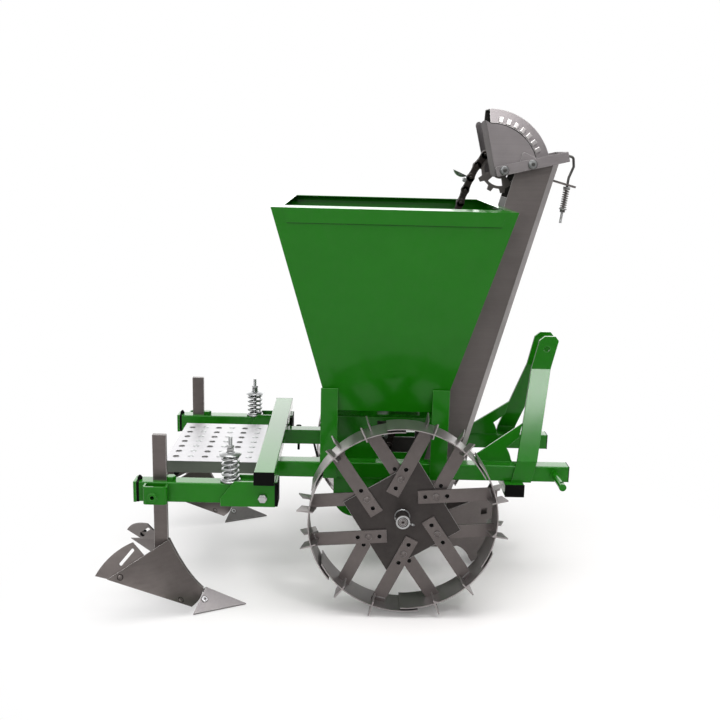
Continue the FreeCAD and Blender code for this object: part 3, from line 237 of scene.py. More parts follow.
def moved(mesh, verts, matrix):
    bmesh.ops.transform(mesh, matrix=matrix, verts=verts)


def frame_at(place, along):
    """A placement whose Z runs along a direction."""
    z = Vector(along).normalized()
    x = UP.cross(z)
    if x.length < 1e-6:
        x = Vector((1, 0, 0)).cross(z)
    x.normalize()
    y = z.cross(x)
    return Matrix.Translation(place) @ Matrix((x, y, z)).transposed().to_4x4()


def rounded_bar(mesh, low, high, width=0.0006):
    """A box with its edges taken off, added to a mesh."""
    part = bmesh.new()
    bmesh.ops.create_cube(part, size=1.0)
    low, high = Vector(low), Vector(high)
    scale = Matrix.Diagonal(high - low).to_4x4()
    moved(part, part.verts, Matrix.Translation((low + high) / 2) @ scale)
    round_edges(part, width)
    merge_in(mesh, part)


def merge_in(mesh, part, matrix=None):
    """Adds a finished part mesh to another mesh, at a place."""
    if matrix is not None:
        moved(part, part.verts, matrix)
    keeper = bpy.data.meshes.new("keeper")
    part.to_mesh(keeper)
    part.free()
    mesh.from_mesh(keeper)
    bpy.data.meshes.remove(keeper)


def hexagon(across, thick):
    """A nut or bolt head with its corners turned off, standing on Z = 0."""
    part = rod(across / 2 / math.cos(math.pi / 6), thick, 6)
    moved(part, part.verts, Matrix.Translation((0, 0, thick / 2)))
    rims = [edge for edge in part.edges if abs(edge.verts[0].co.z - edge.verts[1].co.z) < 1e-6]
    worn_and_lit_edge = part.faces.layers.float.new("worn_and_lit_edge")
    for face in bevel(part, rims, across * 0.12 * 0.5, 2, slide=False):
        face[worn_and_lit_edge] = 0.6
    return part


def washer(radius, bore, thick):
    """A flat ring standing on Z = 0."""
    part = bmesh.new()
    bmesh.ops.create_circle(part, cap_ends=False, segments=28, radius=radius)
    inner = bmesh.ops.extrude_edge_only(part, edges=part.edges[:])
    moved(part, new_verts(inner), Matrix.Diagonal((bore / radius, bore / radius, 1, 1)))
    top = bmesh.ops.extrude_face_region(part, geom=part.faces[:])
    moved(part, new_verts(top), Matrix.Translation((0, 0, thick)))
    bmesh.ops.recalc_face_normals(part, faces=part.faces)
    round_edges(part, thick * 0.2, 1)
    return part


def round_head(radius, thick):
    """A shallow domed head, as on a coach bolt."""
    part = bmesh.new()
    bmesh.ops.create_uvsphere(part, u_segments=24, v_segments=12, radius=radius)
    for v in part.verts:
        v.co.z = 0.0 if v.co.z < 1e-6 else v.co.z
    moved(part, part.verts, Matrix.Diagonal((1, 1, thick / radius, 1)))
    bmesh.ops.remove_doubles(part, verts=part.verts, dist=1e-6)
    part.faces.layers.float.new("worn_and_lit_edge")
    return part


def threaded(radius, length, pitch=0.002):
    """A bolt shank with its turns cut as grooves, standing on Z = 0."""
    part = bmesh.new()
    turns = max(2, int(length / pitch))
    bmesh.ops.create_circle(part, cap_ends=False, segments=16, radius=radius * 0.88)
    rim = part.edges[:]
    for _ in range(turns):
        for lift, scale in ((0.35, 1 / 0.88), (0.2, 1.0), (0.45, 0.88)):
            made = bmesh.ops.extrude_edge_only(part, edges=rim)
            rim = new_edges(made)
            turn_up = Matrix.Translation((0, 0, pitch * lift)) @ Matrix.Diagonal((scale, scale, 1, 1))
            moved(part, new_verts(made), turn_up)
    return closed(part, fill=True)


def coil(radius, wire, rise, turns, steps=22, sides=10):
    """A compression spring standing on Z = 0: a wire ring spun round with a rise, ends closed."""
    part = bmesh.new()
    bmesh.ops.create_circle(part, cap_ends=False, segments=sides, radius=wire)
    moved(part, part.verts, Matrix.Translation((radius, 0, wire)) @ Matrix.Rotation(math.pi / 2, 4, "X"))
    total = int(turns * steps)
    flat = steps // 2
    edges = part.edges[:]
    for stretch, lift in ((flat, 0.25), (total - 2 * flat, 1.0), (flat, 0.25)):
        step_rise = rise / turns / steps * lift
        made = bmesh.ops.spin(part, geom=edges, cent=(0, 0, 0), axis=(0, 0, 1), dvec=(0, 0, step_rise),
                              angle=TAU * stretch / steps, steps=stretch, use_merge=False, use_duplicate=False)
        edges = new_edges(made, "geom_last")
    bmesh.ops.remove_doubles(part, verts=part.verts, dist=1e-6)
    closed(part, fill=True)
    tall = max(v.co.z for v in part.verts)
    moved(part, part.verts, Matrix.Diagonal((1, 1, rise / tall, 1)))
    return part


# ------------------------------------------------------------------ shader groups
def group(name, inputs, outputs):
    tree = bpy.data.node_groups.new(name, "ShaderNodeTree")
    for label, kind, value in inputs:
        socket = tree.interface.new_socket(name=label, in_out="INPUT", socket_type=kind)
        socket.default_value = value
    for label, kind in outputs:
        tree.interface.new_socket(name=label, in_out="OUTPUT", socket_type=kind)
    start = tree.nodes.new("NodeGroupInput")
    end = tree.nodes.new("NodeGroupOutput")
    return tree, start, end


def feed(tree, socket, value):
    """Gives an input a value, or links another node's output to it."""
    if isinstance(value, bpy.types.NodeSocket):
        tree.links.new(value, socket)
    else:
        socket.default_value = value


def node(tree, kind, settings=None, **links):
    """Adds a shader node; links names its inputs, each a value or another node's output."""
    item = tree.nodes.new(kind)
    for key, value in (settings or {}).items():
        setattr(item, key, value)
    for key, value in links.items():
        key = key.replace("_", " ")
        socket = item.inputs[int(key[1:])] if key[0] == "i" and key[1:].isdigit() else item.inputs[key]
        feed(tree, socket, value)
    return item


def blend(tree, kind, factor, first, second):
    mix = tree.nodes.new("ShaderNodeMix")
    mix.data_type = "RGBA"
    mix.blend_type = kind
    for index, value in ((0, factor), (6, first), (7, second)):
        feed(tree, mix.inputs[index], value)
    return mix.outputs[2]


def maths(tree, operation, *values, clamp=False):
    item = tree.nodes.new("ShaderNodeMath")
    item.operation = operation
    item.use_clamp = clamp
    for index, value in enumerate(values):
        feed(tree, item.inputs[index], value)
    return item.outputs[0]


def noise(tree, scale, detail, roughness):
    """Cloudy noise that stays fixed to the object."""
    place = node(tree, "ShaderNodeTexCoord")
    return node(tree, "ShaderNodeTexNoise", Vector=place.outputs["Object"], Scale=scale, Detail=detail,
                Roughness=roughness).outputs[0]


def make_mottle():
    """Soft cloudy change of tone, with a finer grain over it."""
    tree, start, end = group("mottle", [("Scale", "NodeSocketFloat", 12.0), ("Fine Scale", "NodeSocketFloat", 140.0)],
                             [("Cloud", "NodeSocketFloat"), ("Grain", "NodeSocketFloat")])
    tree.links.new(noise(tree, start.outputs["Scale"], 4.0, 0.6), end.inputs["Cloud"])
    tree.links.new(noise(tree, start.outputs["Fine Scale"], 3.0, 0.7), end.inputs["Grain"])
    return tree


def make_edge_wear_and_highlight():
    """Mask of edges that are rubbed bright and carry a painted highlight, broken up by noise."""
    tree, start, end = group("edge_wear_and_highlight", [("Amount", "NodeSocketFloat", 0.6), ("Scale", "NodeSocketFloat", 60.0)],
                             [("Mask", "NodeSocketFloat")])
    edge = node(tree, "ShaderNodeAttribute", {"attribute_name": "worn_and_lit_edge"})
    spots = noise(tree, start.outputs["Scale"], 3.0, 0.65)
    strength = maths(tree, "MULTIPLY", edge.outputs["Fac"], start.outputs["Amount"])
    broken = maths(tree, "MULTIPLY_ADD", spots, 1.1, 0.25, clamp=True)
    tree.links.new(maths(tree, "MULTIPLY", strength, broken, clamp=True), end.inputs["Mask"])
    return tree


def make_streaks():
    """Long fine marks left by rolling or brushing, along one axis."""
    tree, start, end = group("rolled_streaks", [("Along", "NodeSocketVector", (3.0, 260.0, 260.0))],
                             [("Streak", "NodeSocketFloat")])
    place = node(tree, "ShaderNodeTexCoord")
    stretch = node(tree, "ShaderNodeMapping", Vector=place.outputs["Object"], Scale=start.outputs["Along"])
    lines = node(tree, "ShaderNodeTexNoise", Vector=stretch.outputs[0], Scale=1.0, Detail=4.0, Roughness=0.6)
    tree.links.new(lines.outputs[0], end.inputs["Streak"])
    return tree


def make_dust():
    """Pale dust that lies on upward faces, in sparse patches."""
    tree, start, end = group("settled_dust", [("Amount", "NodeSocketFloat", 0.15)], [("Mask", "NodeSocketFloat")])
    geometry = node(tree, "ShaderNodeNewGeometry")
    split = node(tree, "ShaderNodeSeparateXYZ", Vector=geometry.outputs["Normal"])
    patch = noise(tree, 26.0, 6.0, 0.7)
    facing = maths(tree, "MULTIPLY_ADD", split.outputs["Z"], 0.6, 0.4, clamp=True)
    sparse = maths(tree, "MULTIPLY_ADD", patch, 2.4, -0.9, clamp=True)
    amount = maths(tree, "MULTIPLY", maths(tree, "MULTIPLY", facing, sparse), start.outputs["Amount"], clamp=True)
    tree.links.new(amount, end.inputs["Mask"])
    return tree


MOTTLE, EDGE_WEAR_AND_HIGHLIGHT, STREAKS, DUST = make_mottle(), make_edge_wear_and_highlight(), make_streaks(), make_dust()


def use(tree, group_tree, **values):
    item = tree.nodes.new("ShaderNodeGroup")
    item.node_tree = group_tree
    for key, value in values.items():
        item.inputs[key.replace("_", " ")].default_value = value
    return item


def shade(value, amount):
    return tuple(min(1.0, c * amount) for c in value[:3]) + (1.0,)


def new_material(name):
    material = bpy.data.materials.new(name)
    material.use_nodes = True
    tree = material.node_tree
    return material, tree, tree.nodes["Principled BSDF"]


def dress(tree, shader, **values):
    """Gives a shader's inputs their values or links."""
    for key, value in values.items():
        feed(tree, shader.inputs[key.replace("_", " ")], value)


def bumps(tree, height, strength, distance):
    return node(tree, "ShaderNodeBump", Height=height, Strength=strength, Distance=distance).outputs[0]


def painted(name, colour, roughness=0.22):
    """Stoved gloss paint: cloudy tone, orange peel, and pale edges, partly thin coat and partly painted highlight."""
    material, tree, shader = new_material(name)
    tone = use(tree, MOTTLE, Scale=5.0, Fine_Scale=420.0)
    edge = use(tree, EDGE_WEAR_AND_HIGHLIGHT, Amount=0.5, Scale=45.0)
    dust = use(tree, DUST, Amount=0.03)
    deep, light = shade(colour, 0.88), shade(colour, 1.12)
    base = blend(tree, "MIX", tone.outputs["Cloud"], deep, light)
    # pale green edges: partly where the coat is thin, partly a painted highlight
    base = blend(tree, "MIX", edge.outputs["Mask"], base, (0.12, 0.32, 0.1, 1))
    base = blend(tree, "MIX", dust.outputs["Mask"], base, (0.42, 0.40, 0.36, 1))
    rough = maths(tree, "MULTIPLY_ADD", tone.outputs["Cloud"], 0.16, roughness - 0.08)
    rough = maths(tree, "MULTIPLY_ADD", dust.outputs["Mask"], 1.2, rough, clamp=True)
    dress(tree, shader, Base_Color=base, Roughness=rough, Normal=bumps(tree, tone.outputs["Grain"], 0.04, 0.0006),
          IOR=1.1, Coat_Weight=1.0, Coat_IOR=1.25, Coat_Roughness=0.14)
    return material


def steel(name, colour, roughness=0.4, metallic=0.8, along=(3.0, 260.0, 260.0), wear=0.7, dark=0.75,
          bright=(0.5, 0.49, 0.48, 1), dust_amount=0.12):
    """Bare sheet or bar: rolled streaks, blotchy tone, edges rubbed bright."""
    material, tree, shader = new_material(name)
    tone = use(tree, MOTTLE, Scale=9.0, Fine_Scale=260.0)
    lines = use(tree, STREAKS, Along=along)
    edge = use(tree, EDGE_WEAR_AND_HIGHLIGHT, Amount=wear, Scale=80.0)
    dust = use(tree, DUST, Amount=dust_amount)
    base = blend(tree, "MIX", tone.outputs["Cloud"], shade(colour, dark), shade(colour, 1.25))
    streak = maths(tree, "MULTIPLY_ADD", lines.outputs["Streak"], 0.5, 0.75)
    base = blend(tree, "MULTIPLY", 0.6, base, streak)
    base = blend(tree, "MIX", edge.outputs["Mask"], base, bright)
    base = blend(tree, "MIX", dust.outputs["Mask"], base, (0.30, 0.28, 0.25, 1))
    rough = maths(tree, "MULTIPLY_ADD", tone.outputs["Cloud"], 0.22, roughness - 0.11)
    rough = maths(tree, "MULTIPLY_ADD", lines.outputs["Streak"], 0.12, rough, clamp=True)
    height = maths(tree, "MULTIPLY_ADD", lines.outputs["Streak"], 0.5, tone.outputs["Grain"])
    dress(tree, shader, Base_Color=base, Roughness=rough, Metallic=metallic, IOR=1.4,
          Normal=bumps(tree, height, 0.08, 0.0004))
    return material


def moulded(name, colour, roughness):
    """Black plastic with a fine even grain."""
    material, tree, shader = new_material(name)
    tone = use(tree, MOTTLE, Scale=30.0, Fine_Scale=900.0)
    base = blend(tree, "MIX", tone.outputs["Cloud"], shade(colour, 0.7), shade(colour, 1.6))
    rough = maths(tree, "MULTIPLY_ADD", tone.outputs["Grain"], 0.2, roughness - 0.1)
    dress(tree, shader, Base_Color=base, Roughness=rough, IOR=1.15,
          Normal=bumps(tree, tone.outputs["Grain"], 0.15, 0.0003))
    return material


GREEN = painted("gloss_green_paint", (0.007, 0.135, 0.002))
# painted shadow: a deep green for the line of shade under the hopper's hem
HEM_SHADOW = painted("painted_hem_shadow", (0.003, 0.04, 0.001), 0.6)
SHEET = steel("grey_sheet_steel", (0.130, 0.115, 0.112), 0.42, 0.7)
FRONT = steel("pale_duct_front", (0.34, 0.32, 0.32), 0.4, 0.7)
HEAD = steel("light_head_steel", (0.19, 0.174, 0.178), 0.5, 0.6)
WHEEL = steel("grey_wheel_steel", (0.118, 0.103, 0.100), 0.42, 0.7, (60.0, 3.0, 60.0))
HUB = steel("dark_hub_steel", (0.036, 0.031, 0.03), 0.45, 0.65, (60.0, 3.0, 60.0))
RIM = steel("rolled_rim_steel", (0.27, 0.25, 0.25), 0.28, 0.85, (60.0, 3.0, 60.0))
SHARE = steel("ground_share_steel", (0.19, 0.176, 0.18), 0.4, 0.7, (120.0, 6.0, 120.0), 0.6)
PLOUGH = steel("plough_steel", (0.12, 0.104, 0.1), 0.34, 0.8, (14.0, 14.0, 120.0), 0.9)
ZINC = steel("bright_zinc", (0.37, 0.378, 0.38), 0.25, 0.95, (120.0, 120.0, 120.0), 0.3, 0.7, (0.8, 0.8, 0.8, 1), 0.05)
GALVANISED = steel("galvanised_sheet", (0.42, 0.413, 0.427), 0.36, 0.8, (40.0, 40.0, 40.0), 0.3, 0.82,
                   (0.85, 0.85, 0.86, 1), 0.06)
# painted shade and reflection: a darker greenish copy of the zinc for the platform's lower faces
SKIRT = steel("zinc_skirt_painted_shade_and_reflection", (0.105, 0.12, 0.10), 0.45, 0.5, (3.0, 40.0, 160.0), 0.3)
CHAIN = steel("oiled_chain_steel", (0.03, 0.024, 0.022), 0.33, 0.8, (90.0, 90.0, 90.0), 0.85, 0.6,
              (0.22, 0.2, 0.19, 1), 0.0)
# painted shade: a dark steel for inner faces and hollows that lie in shade
INSIDE = steel("unlit_inner_steel", (0.045, 0.042, 0.04), 0.6, 0.4)
BOLT = steel("dark_bolt_steel", (0.08, 0.078, 0.075), 0.35, 0.8, (90.0, 90.0, 90.0), 0.8, 0.6, (0.3, 0.3, 0.3, 1))
BEAD = steel("weld_bead_steel", (0.2, 0.19, 0.19), 0.3, 0.9, (150.0, 150.0, 150.0), 0.5, 0.6)
# painted highlight: a paler copy of the head steel for the cowl's crimps
BRIGHT = steel("crimps_painted_highlight", (0.35, 0.33, 0.33), 0.28, 0.85, (80.0, 80.0, 80.0))
BLACK = moulded("black_cap_plastic", (0.002, 0.002, 0.002), 0.6)

MATERIAL_OF_SLOT = {"green_paint": GREEN, "grey_steel": SHEET, "wheel_steel": WHEEL, "zinc_plate": ZINC,
                    "perforated_zinc": GALVANISED, "dark_chain": CHAIN, "black_plastic": BLACK}


# ------------------------------------------------------------------ softened CAD pieces
EDGE_WIDTHS = {0.4: "chain_cups tension_rod",
               0.6: "hopper_funnel duct_channel platform head_cheeks",
               0.7: "hopper_side_right hopper_side_left hopper_rear hopper_front",
               0.8: "boot duct_front head_cowl tension_tab ridger_wings wing_extensions main_tube_right "
                    "main_tube_left rear_beam front_beam ridger_arm_right ridger_arm_left shank_clamps pivot_bolts",
               1.2: "end_caps"}
EDGE_WIDTH = {name: width for width, names in EDGE_WIDTHS.items() for name in names.split()}
SPECIAL_FINISH = {"head_cheeks": HEAD, "head_cowl": HEAD, "tension_yoke": HEAD, "tension_tab": SHEET,
                  "ridger_wings": PLOUGH, "ridger_shares": SHARE, "wing_extensions": PLOUGH, "shanks": PLOUGH,
                  "wheel_rim_right": RIM, "wheel_rim_left": RIM, "wheel_hub_right": HUB, "wheel_hub_left": HUB,
                  "duct_front": FRONT, "chain_cups": GALVANISED, "tension_rod": BOLT}
REBUILT = {"arm_springs", "tension_spring", "cup_chain", "spring_rods"}
TUBES = {"main_tube_right": 0, "main_tube_left": 0, "rear_beam": 1, "front_beam": 1, "ridger_arm_right": 0,
         "ridger_arm_left": 0}


def spot(x, y, z):
    """A place in millimetres: forward of the axle, to the machine's left, above the ground."""
    return Vector((AXLE.x + x * MM, y * MM, z * MM))


def round_tube(mesh, axis):
    """The four long corners of a rolled box section."""
    across = [k for k in range(3) if k != axis]
    low = [min(v.co[k] for v in mesh.verts) for k in across]
    high = [max(v.co[k] for v in mesh.verts) for k in across]

    def at_corner(v):
        return all(min(v.co[k] - low[n], high[n] - v.co[k]) < 1e-4 for n, k in enumerate(across))

    corners = [e for e in mesh.edges if all(at_corner(v) for v in e.verts) and len(e.link_faces) == 2
               and abs(e.verts[0].co[axis] - e.verts[1].co[axis]) > 0.02]
    bevel(mesh, corners, 0.004, 4)


def bend_straps(mesh):
    """The outer bends of the straps round the shanks."""
    reach = max(abs(v.co.y) for v in mesh.verts if abs(v.co.z - min(u.co.z for u in mesh.verts)) < 1e-4)
    bends = [e for e in mesh.edges if all(abs(abs(v.co.y) - reach) < 1e-4 for v in e.verts)
             and abs(e.verts[0].co.z - e.verts[1].co.z) > 0.04]
    bevel(mesh, bends, 0.009, 5)


def faces_inward(face, centre_line, way):
    """Whether a face looks at a line that runs through a place."""
    out = face.calc_center_median() - centre_line
    out = out - way * out.dot(way)
    return face.normal.dot(out) < 0 and abs(face.normal.dot(out.normalized())) > 0.05


DUCT_WAY, DUCT_MIDDLE = Vector((0.2644, 0, 1)).normalized(), spot(310, 0, 1000)
BOOT_MIDDLE, COWL_CENTRE = spot(-50, 0, 350), spot(242, 0, 1285)
# painted shade: the duct's, boot's and cowl's inner faces take the unlit steel; the platform's sides and underside
# take the skirt steel, a painted shade and reflection
INNER_SIDE = {"duct_channel": (INSIDE, lambda f: f.normal.x < -0.5 or faces_inward(f, DUCT_MIDDLE, DUCT_WAY)),
              "duct_front": (INSIDE, lambda f: faces_inward(f, DUCT_MIDDLE, DUCT_WAY)),
              "boot": (INSIDE, lambda f: faces_inward(f, BOOT_MIDDLE, UP)),
              "head_cowl": (INSIDE, lambda f: f.normal.dot(f.calc_center_median() - COWL_CENTRE) < 0),
              "platform": (SKIRT, lambda f: f.normal.z < 0.5)}


def soften_nodes():
    wheels = frame["record"]["behaviour"]["bodies"]["wheels"]
    for name in frame["nodes"]:
        if name in REBUILT:
            continue
        mesh = copy_of(name)
        if name in TUBES:
            round_tube(mesh, TUBES[name])
        if name == "shank_clamps":
            bend_straps(mesh)
        round_edges(mesh, EDGE_WIDTH.get(name, 1.0) * MM, 2)
        material = SPECIAL_FINISH.get(name, MATERIAL_OF_SLOT[SLOT_OF[name]])
        inner = INNER_SIDE.get(name)
        if inner:
            for face in mesh.faces:
                face.material_index = 1 if inner[1](face) else 0
        piece = finished(mesh, name + "_finished", material, "wheels" if name in wheels else "frame",
                         replaces=(name,), crease=24.0 if name.startswith("hitch_upright") else 38.0)
        if inner:
            piece.data.materials.append(inner[0])


# ------------------------------------------------------------------ springs, bolts and chain
ROD_NUT = 0.019                     # across the flats
ROD_WASHER = (0.0135, 0.0063, 0.002)
ARM_Y = 350                         # the ridger arms' middles, in millimetres
BOSS_END = 0.4161                   # the turned face of a wheel's boss


def span(name):
    """A node's lowest and highest corners."""
    low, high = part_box(name)
    return Vector(low), Vector(high)


def ring(major, wire, steps=28, sides=10):
    """A round wire ring lying flat about Z."""
    part = bmesh.new()
    bmesh.ops.create_circle(part, cap_ends=False, segments=sides, radius=wire)
    moved(part, part.verts, Matrix.Translation((major, 0, 0)) @ Matrix.Rotation(math.pi / 2, 4, "X"))
    bmesh.ops.spin(part, geom=part.edges[:], cent=(0, 0, 0), axis=(0, 0, 1), dvec=(0, 0, 0), angle=TAU,
                   steps=steps, use_merge=True, use_duplicate=False)
    return closed(part)


def dished_washer(radius, bore, deep, wave, steps=36):
    """A pressed washer with its rim turned down and slightly wavy."""
    part = bmesh.new()
    outline = [(bore, 0.0), (radius * 0.62, 0.0), (radius * 0.9, -deep * 0.55), (radius, -deep),
               (radius * 0.95, -deep - 0.0012), (radius * 0.82, -deep * 0.6), (radius * 0.58, -0.002), (bore, -0.002)]
    verts = [part.verts.new((x, 0, z)) for x, z in outline]
    edges = [part.edges.new((verts[k], verts[(k + 1) % len(verts)])) for k in range(len(verts))]
    bmesh.ops.spin(part, geom=edges, cent=(0, 0, 0), axis=(0, 0, 1), dvec=(0, 0, 0), angle=TAU, steps=steps,
                   use_merge=True, use_duplicate=False)
    for v in part.verts:
        out = max(0.0, (math.hypot(v.co.x, v.co.y) - radius * 0.6) / (radius * 0.4))
        v.co.z += wave * out * math.sin(3 * math.atan2(v.co.y, v.co.x))
    return closed(part)


def fit_springs():
    low, high = span("arm_springs")
    mesh, seats = bmesh.new(), bmesh.new()
    for sign in (-1, 1):
        foot = Vector(((low.x + high.x) / 2, sign * ARM_Y * MM, low.z))
        merge_in(mesh, coil(0.0232, 0.0036, high.z - low.z, 5.6), Matrix.Translation(foot))
        merge_in(seats, ring(0.0268, 0.0036), Matrix.Translation(foot + Vector((0, 0, 0.0034))))
        top = Vector((foot.x, foot.y, 0.4825))
        merge_in(seats, dished_washer(0.0325, 0.0066, 0.007, 0.0014), Matrix.Translation(top))
        merge_in(seats, washer(*ROD_WASHER), Matrix.Translation(top))
        merge_in(seats, hexagon(ROD_NUT, 0.0105), Matrix.Translation(top + Vector((0, 0, 0.002))))
        merge_in(seats, hexagon(ROD_NUT, 0.008), Matrix.Translation(top + Vector((0, 0, 0.0135)))
                 @ Matrix.Rotation(0.4, 4, "Z"))
        merge_in(seats, threaded(0.0058, 0.206), Matrix.Translation((foot.x, foot.y, 0.325)))
        merge_in(seats, washer(*ROD_WASHER), Matrix.Translation((foot.x, foot.y, 0.3305)))
        merge_in(seats, hexagon(ROD_NUT, 0.009), Matrix.Translation((foot.x, foot.y, 0.322)))
    finished(mesh, "arm_spring_coils", ZINC, replaces=("arm_springs",), crease=60)
    finished(seats, "spring_rods_and_washers", ZINC, replaces=("spring_rods",), crease=40)
    mesh = bmesh.new()
    lean = math.radians(6.9)
    up = Vector((math.sin(lean), 0, math.cos(lean)))
    foot = spot(484, 0, 1139)
    merge_in(mesh, coil(0.0091, 0.0014, 0.0635, 9.5, 16, 8), frame_at(foot + up * 0.0456, up))
    finished(mesh, "tension_spring_coil", SHEET, replaces=("tension_spring",), crease=60)
    mesh = bmesh.new()
    merge_in(mesh, hexagon(0.014, 0.0075), frame_at(foot + up * 0.033, up))
    merge_in(mesh, washer(0.0125, 0.0042, 0.0015), frame_at(foot + up * 0.0415, up))
    merge_in(mesh, threaded(0.0043, 0.034, 0.0016), frame_at(foot + up * 0.0005, up))
    merge_in(mesh, hexagon(ROD_NUT, 0.008), frame_at(foot + up * 0.112, -up))
    finished(mesh, "tension_nut", ZINC, slot="zinc_plate")


def chain_joints():
    """The chain's joints, read from the corners of its solid strand."""
    mesh = welded("cup_chain")
    side = max(v.co.y for v in mesh.verts)
    corners = [v.co.copy() for v in mesh.verts if abs(v.co.y - side) < 1e-5]
    mesh.free()
    middles = []
    while corners:
        here = corners.pop()
        mate = min(corners, key=lambda other: (other - here).length)
        corners.remove(mate)
        middle = (here + mate) / 2
        middles.append(Vector((middle.x, 0, middle.z)))
    ordered = [middles.pop()]
    while middles:
        nearest = min(middles, key=lambda other: (other - ordered[-1]).length)
        middles.remove(nearest)
        ordered.append(nearest)
    return ordered


def link_plate(length, waist=0.0092, end=0.0124, thick=0.002):
    """A waisted side plate from joint to joint, lying in XZ with its first joint at the origin."""
    part = bmesh.new()
    bmesh.ops.create_circle(part, cap_ends=True, segments=20, radius=end)
    bmesh.ops.create_circle(part, cap_ends=True, segments=20, radius=end, matrix=Matrix.Translation((length, 0, 0)))
    bmesh.ops.create_grid(part, x_segments=4, y_segments=1, size=0.5)
    strip = [v for v in part.verts if len(v.link_faces) and abs(abs(v.co.y) - 0.5) < 1e-6]
    for v in strip:
        share = abs(v.co.x) * 2
        v.co.y = math.copysign(waist + (end - waist) * share * share, v.co.y)
        v.co.x = length / 2 + v.co.x * length
    made = bmesh.ops.extrude_face_region(part, geom=part.faces[:])
    moved(part, new_verts(made), Matrix.Translation((0, 0, thick)))
    bmesh.ops.recalc_face_normals(part, faces=part.faces)
    round_edges(part, 0.0003, 1, 60)
    return part


def lace_chain():
    """Pairs of side plates, outer and inner in turn, with a pin and a roller at every joint."""
    joints = chain_joints()
    mesh = bmesh.new()
    for index, here in enumerate(joints):
        after = joints[(index + 1) % len(joints)]
        length = (after - here).length
        along = (after - here).normalized()
        outer = index % 2 == 0
        for sign in (-1, 1):
            offset = 0.0096 if outer else 0.0072
            normal = Vector((0, sign, 0))
            turn = Matrix((along, normal.cross(along), normal)).transposed().to_4x4()
            merge_in(mesh, link_plate(length), Matrix.Translation(here + normal * offset) @ turn)
        for part, soft in ((rod(0.0038, 0.0262, 12), 0.0004), (rod(0.006, 0.014, 16), 0.0003)):
            round_edges(part, soft, 1)
            merge_in(mesh, part, frame_at(here, (0, 1, 0)))
    finished(mesh, "laced_chain", CHAIN, replaces=("cup_chain",))
    fit_cup_bolts(joints)


def fit_cup_bolts(joints):
    """A bolt head and nut on the foot of every cup, near the link it hangs on."""
    cups = welded("chain_cups")
    cups.verts.index_update()
    mesh, seen = bmesh.new(), set()
    for start in cups.verts:
        if start in seen:
            continue
        piece, edge_of_search = {start}, [start]
        while edge_of_search:
            for joined in edge_of_search.pop().link_edges:
                for v in joined.verts:
                    if v not in piece:
                        piece.add(v)
                        edge_of_search.append(v)
        seen |= piece
        corners = sorted(piece, key=lambda v: v.index)
        middle = sum((v.co for v in corners), Vector()) / len(corners)
        nearest = sorted(joints, key=lambda joint: (joint - middle).length)[:2]
        foot = (nearest[0] + nearest[1]) / 2
        out = (middle - foot).normalized()
        for sign in (-1, 1):
            place = foot + out * 0.0165 + Vector((0, sign * 0.0035, 0))
            merge_in(mesh, hexagon(0.0125, 0.005), frame_at(place, (0, sign, 0)))
    cups.free()
    finished(mesh, "cup_bolts", ZINC, slot="zinc_plate")


def on_wheel(side, layer, index, along, across=None):
    """A place on a spoke of one wheel: its distance out from the axle and sideways from the spoke's line."""
    direction = math.radians(60 * index + SPOKE_TURN)
    across = -layer * SIDES[side] * SPOKE_OFFSET if across is None else across
    return Vector((AXLE.x + along * math.cos(direction) - across * math.sin(direction), 0,
                   AXLE.z + along * math.sin(direction) + across * math.cos(direction)))


def at_depth(place, y):
    """The same place at another distance from the machine's middle."""
    return Vector((place.x, y, place.z))


def wheel_bolts():
    """Round-headed bolts that hold each spoke, with their nuts behind, and black discs of painted shade in the open
    holes.
    """
    for side, sign in SIDES.items():
        mesh, hole_shade = bmesh.new(), bmesh.new()
        for layer in (1, -1):
            out = Vector((0, sign * layer, 0))
            for index in range(6):
                place = on_wheel(side, layer, index, 0.101)
                front = at_depth(place, sign * (WHEEL_Y + layer * 0.008))
                merge_in(mesh, round_head(0.0098, 0.0058), frame_at(front, out))
                back = at_depth(place, sign * (WHEEL_Y - layer * 0.003))
                merge_in(mesh, washer(0.012, 0.006, 0.0016), frame_at(back, -out))
                merge_in(mesh, hexagon(0.017, 0.007), frame_at(back - out * 0.0016, -out))
                for along in (0.069, 0.133):
                    hole = at_depth(on_wheel(side, layer, index, along), sign * (WHEEL_Y + layer * 0.0036))
                    # painted shade: a thin black disc at the foot of each open hole
                    merge_in(hole_shade, rod(0.0064, 0.0006, 20), frame_at(hole, out))
        finished(mesh, "spoke_bolts_" + side, WHEEL, "wheels", "wheel_steel")
        finished(hole_shade, "painted_hole_shade_" + side, BLACK, "wheels", "black_plastic")


